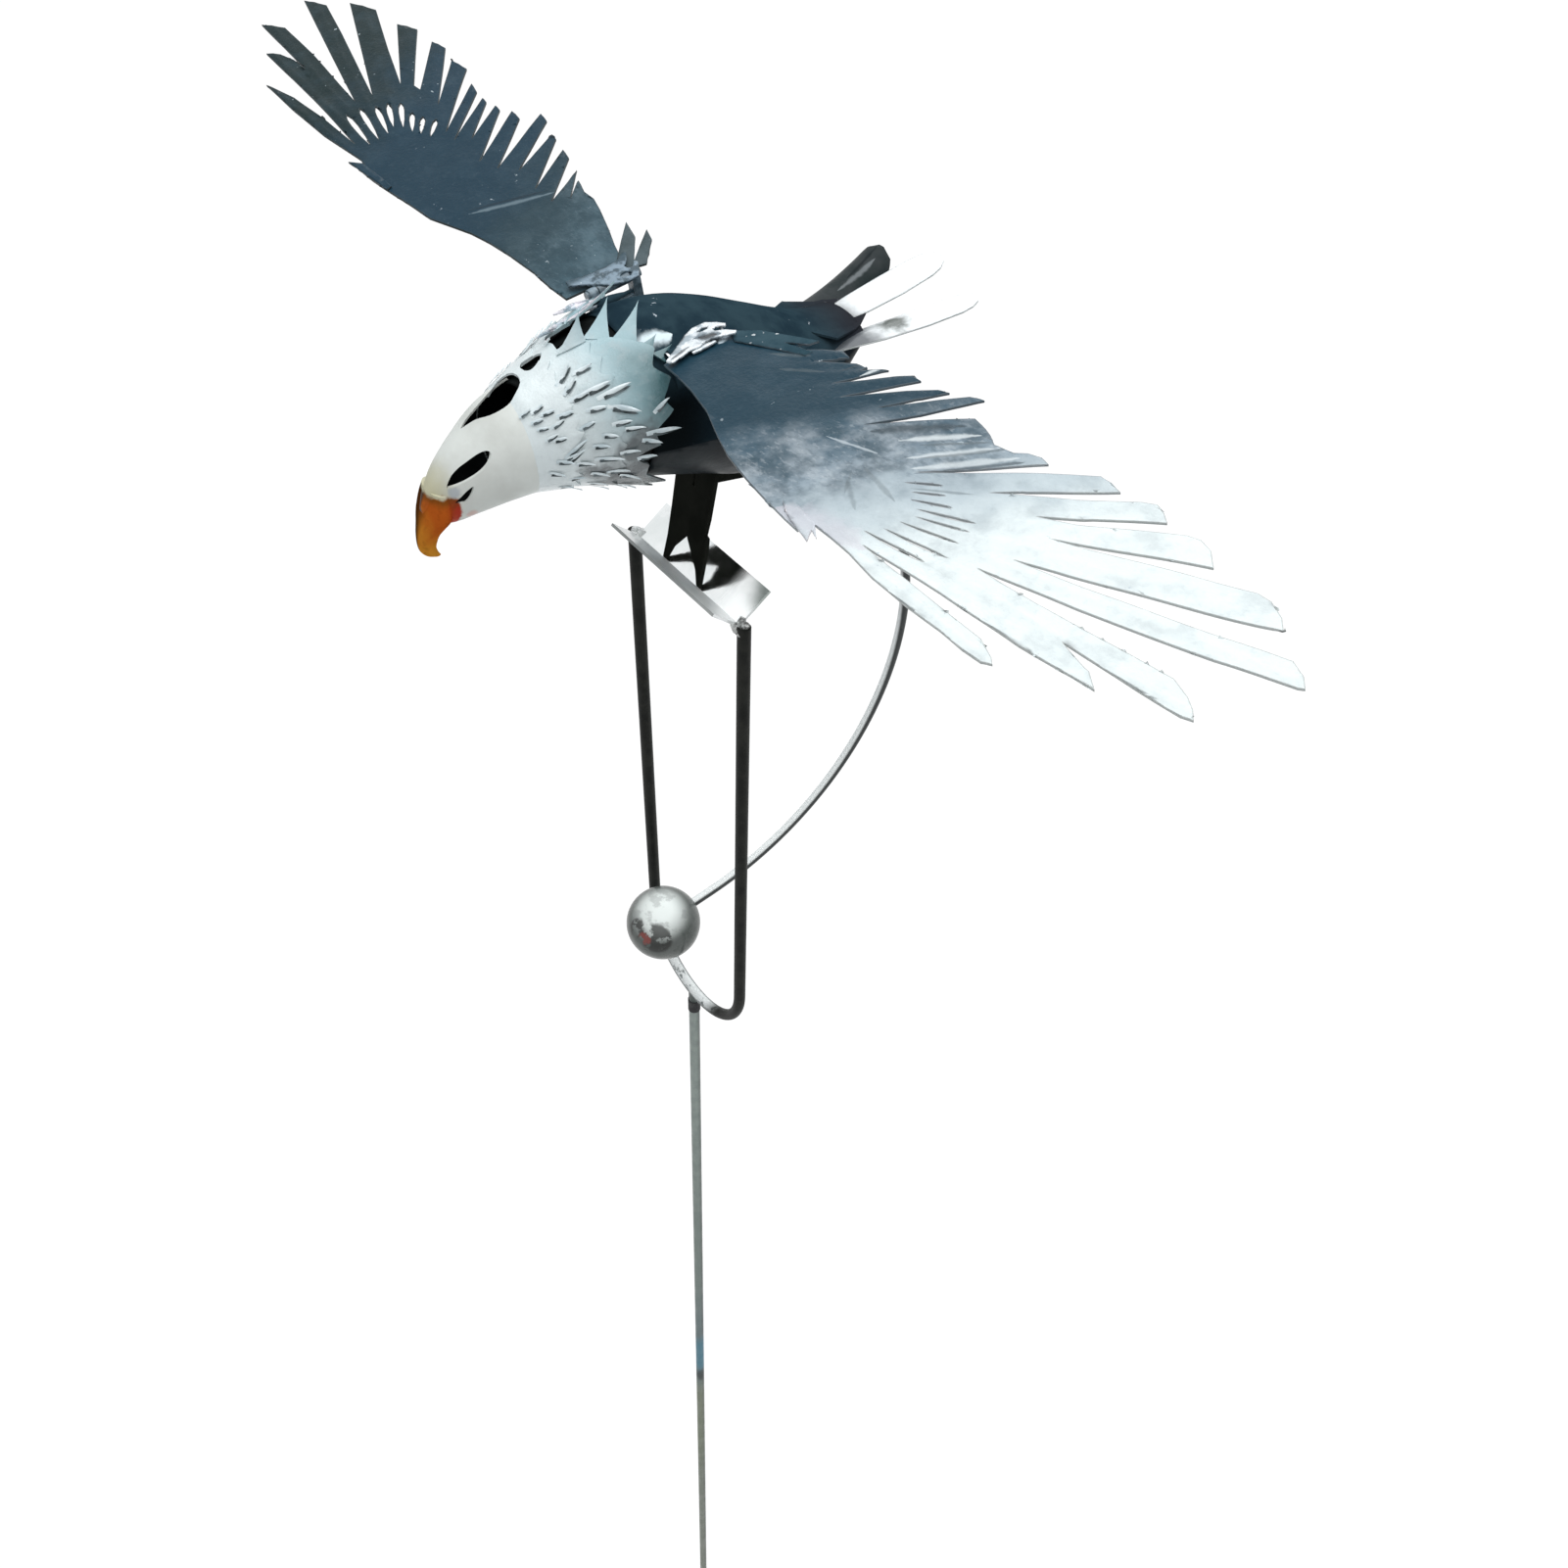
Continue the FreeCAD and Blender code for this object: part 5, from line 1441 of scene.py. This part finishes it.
def ball_colour(tree):
    """Painted light: a painted highlight on top, painted shade below, and painted reflections as
    dark mottling, two dark patches and a red one low down.
    """
    lit = calc(tree, "POWER", turned(tree, (0.26, -0.3, 0.92), 0.5, 0.99), 1.3)
    out = mix(tree, lit, (0.075, 0.088, 0.08), (0.88, 0.93, 0.9))
    # painted reflections: grey mottling, then two dark patches and a red one at fixed places
    grey = times(tree, use(tree, clouds, Size=120.0, Low=0.5, High=0.6)["Mask"], 0.35)
    out = mix(tree, grey, out, (0.16, 0.17, 0.165))
    for way, low, high, shade in (((0.66, -0.66, 0.36), 0.88, 0.93, (0.012, 0.013, 0.012)),
                                  ((0.12, -0.88, 0.42), 0.94, 0.965, (0.02, 0.02, 0.018)),
                                  ((0.4, -0.85, 0.3), 0.975, 0.99, (0.25, 0.06, 0.05))):
        broken = use(tree, clouds, Size=130.0, Low=0.44, High=0.5)["Mask"]
        patch = times(tree, turned(tree, way, low, high), broken)
        out = mix(tree, times(tree, patch, 0.85), out, shade)
    return out


weight_rod = finish("weight rod steel", weight_rod_colour, cloudy(0.25, 0.4, 60), bump=0.1,
                    specular=0.3)
ball_steel = finish("polished ball", ball_colour, cloudy(0.2, 0.3), specular=0.3)
print("weight finishes", weight_rod.name, "and", ball_steel.name)

# %% [markdown]
# ## The channel
#
# The folded channel is bare bright steel, but only part of it is still shiny: its rear side,
# its front lip and its near end are dull. A mask turns Metallic down there. The near end of
# the rear plate also has a weak glow, in place of a glare that soft lamps don't give.

# %% Channel steel
LIP_WAY = (0, -0.75, 0.66)
PLATE_WAY = (0, -0.59, 0.81)


def front_lip(tree):
    return turned(tree, LIP_WAY, 0.985, 0.995)


# painted shade: a grey blot at the near rear corner
def grey_corner(tree):
    return blot(tree, spot(-19, 47, 308), 17, 0.3, 60.0)


def channel_colour(tree):
    """Bright, with painted shade in grey on the front lip and toward the near rear corner."""
    out = speckled((0.97, 0.99, 0.98), (0.88, 0.91, 0.9), 70)(tree)
    # painted shade: grey on the front lip
    out = mix(tree, front_lip(tree), out, (0.36, 0.38, 0.37))
    return mix(tree, times(tree, grey_corner(tree), 0.8), out, (0.3, 0.35, 0.32))


channel_steel = finish("channel steel", channel_colour, cloudy(0.08, 0.2), bump=0.06,
                       metallic=1.0)
tree = channel_steel.node_tree
steel = next(n for n in tree.nodes if n.type == "BSDF_PRINCIPLED")
near_end = times(tree, spread(tree, object_axes(tree)[0], side_at(22), side_at(34)), 0.8)
dull = calc(tree, "MAXIMUM", turned(tree, (0, 1, 0), 0.1, 0.4), front_lip(tree))
dull = calc(tree, "MAXIMUM", dull, near_end)
tree.links.new(flipped(tree, dull), steel.inputs["Metallic"])
glow = times(tree, turned(tree, PLATE_WAY, 0.97, 0.99), near_end)
glow = times(tree, glow, flipped(tree, grey_corner(tree)))
tree.links.new(mix(tree, glow, (0, 0, 0), (1, 1, 1)), steel.inputs["Emission Color"])
steel.inputs["Emission Strength"].default_value = 0.5
print("channel", len(tree.nodes), "nodes")

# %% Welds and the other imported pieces
weld_pale = finish("pale weld", speckled((0.92, 0.94, 0.93), (0.62, 0.66, 0.65), 420, 0.55,
                   0.7), 0.4, specular=0.3)
weld_metal = finish("weld metal", speckled((0.75, 0.77, 0.76), (0.16, 0.16, 0.16), 420),
                    cloudy(0.15, 0.4, 300), bump=1.0, metallic=0.9,
                    height=lambda tree: use(tree, dents, Size=500.0, Fine=0.4)["Height"])
# the neck shell under the capes takes the painted shade of the inside
for node, material in {
        "stake_rod": stake_grey, "swivel_bush": bush_black, "swivel_stub": stub_grey,
        "swivel_pin": bright, "fork_rod": fork_dark, "v_channel": channel_steel,
        "left_weld": weld_metal, "right_weld": weld_pale, "leg_plate": leg_black,
        "keel_strap": leg_black, "neck_shell": dark_inside, "counterweight_rod": weight_rod,
        "counterweight_ball": ball_steel, "tail_cover": slate,
        "left_shoulder_bracket": slate, "right_shoulder_bracket": far_fitting,
        "left_hinge_pin": bright, "right_hinge_pin": far_fitting,
        "left_wing_barrel": bright, "right_wing_barrel": far_fitting}.items():
    nodes[node].data.materials.clear()
    nodes[node].data.materials.append(material)
print("nodes dressed; left as packed:", sorted(n for n, o in nodes.items() if not o.hide_render))

# %% [markdown]
# ## Studio
#
# A wide pale floor and big soft lamps give an even daylight. The floor shows itself as plain
# white to the camera and in reflections, and still takes a faint shadow.

# %% Floor
def studio_floor():
    """A wide level sheet that looks white and still takes the object's shadow."""
    bm = bmesh.new()
    bmesh.ops.create_grid(bm, x_segments=8, y_segments=8, size=14)
    mesh = bpy.data.meshes.new("floor")
    bm.to_mesh(mesh)
    bm.free()
    floor = bpy.data.objects.new("floor", mesh)
    bpy.context.scene.collection.objects.link(floor)
    material = bpy.data.materials.new("pale floor")
    material.use_nodes = True
    tree = material.node_tree
    tree.nodes.clear()
    matte = put(tree, "BsdfDiffuse", {"Color": (0.9, 0.9, 0.9, 1)}).outputs[0]
    glow = put(tree, "Emission", {"Color": (1, 1, 1, 1), "Strength": 1.08}).outputs[0]
    path = put(tree, "LightPath").outputs
    seen = calc(tree, "MAXIMUM", path["Is Camera Ray"], path["Is Glossy Ray"])
    seen = calc(tree, "MAXIMUM", seen, path["Is Transmission Ray"])
    share = times(tree, seen, 0.9)
    both = put(tree, "MixShader", {0: share, 1: matte, 2: glow}).outputs[0]
    tree.links.new(both, put(tree, "OutputMaterial").inputs[0])
    mesh.materials.append(material)
    floor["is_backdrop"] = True
    return floor


floor = studio_floor()
print("floor", [round(side) for side in floor.dimensions], "m")

# %% Sky
world = bpy.data.worlds.new("soft sky")
bpy.context.scene.world = world
world.use_nodes = True
sky = world.node_tree
sky.nodes.clear()
SKY_LOW, SKY_HIGH = (0.3, 0.31, 0.32), (0.42, 0.44, 0.46)
MIRROR_LOW, MIRROR_HIGH = (1.0, 1.0, 1.0), (0.85, 0.87, 0.89)
height = put(sky, "SeparateXYZ", {0: put(sky, "TexCoord").outputs["Generated"]}).outputs[2]
rise = spread(sky, height, 0.0, 0.9)
path = put(sky, "LightPath").outputs
mirrored = calc(sky, "MAXIMUM", path["Is Glossy Ray"], path["Is Transmission Ray"])
shown = mix(sky, mirrored, mix(sky, rise, SKY_LOW, SKY_HIGH),
            mix(sky, rise, MIRROR_LOW, MIRROR_HIGH))
shown = mix(sky, path["Is Camera Ray"], shown, (1, 1, 1))
sky.links.new(put(sky, "Background", {"Color": shown, "Strength": 1.0}).outputs[0],
              put(sky, "OutputWorld").inputs[0])
print("sky", world.name)

# %% Lamps
BIRD = (0, 0, 1.3)


def lamp(name, at, aim, size, watts, colour=(1, 1, 1)):
    data = bpy.data.lights.new(name, "AREA")
    data.shape, data.size, data.energy, data.color = "DISK", size, watts, colour
    made = bpy.data.objects.new(name, data)
    made.location = at
    made.rotation_euler = (Vector(aim) - Vector(at)).to_track_quat("-Z", "Y").to_euler()
    bpy.context.scene.collection.objects.link(made)
    return made


lamp("overhead", (0.1, 0.3, 4.2), BIRD, 5.0, 135)
lamp("from the left", (2.6, -1.8, 2.4), BIRD, 3.0, 12, (1, 0.98, 0.95))
lamp("from behind", (-2.2, 2.6, 2.8), BIRD, 3.0, 18, (0.93, 0.97, 1))
view = bpy.context.scene.view_settings
view.view_transform = "Standard"

# %% [markdown]
# ## Sizes
#
# Last, the overall box is measured again, so that it can be set beside the imported model's.

# %% Sizes
sizes = {"cad": [list(corner) for corner in cad_box],
         "visual": [list(corner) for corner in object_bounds()]}
for name, (low, high) in sizes.items():
    print(name, [round((b - a) / MM, 1) for a, b in zip(low, high)], "mm")
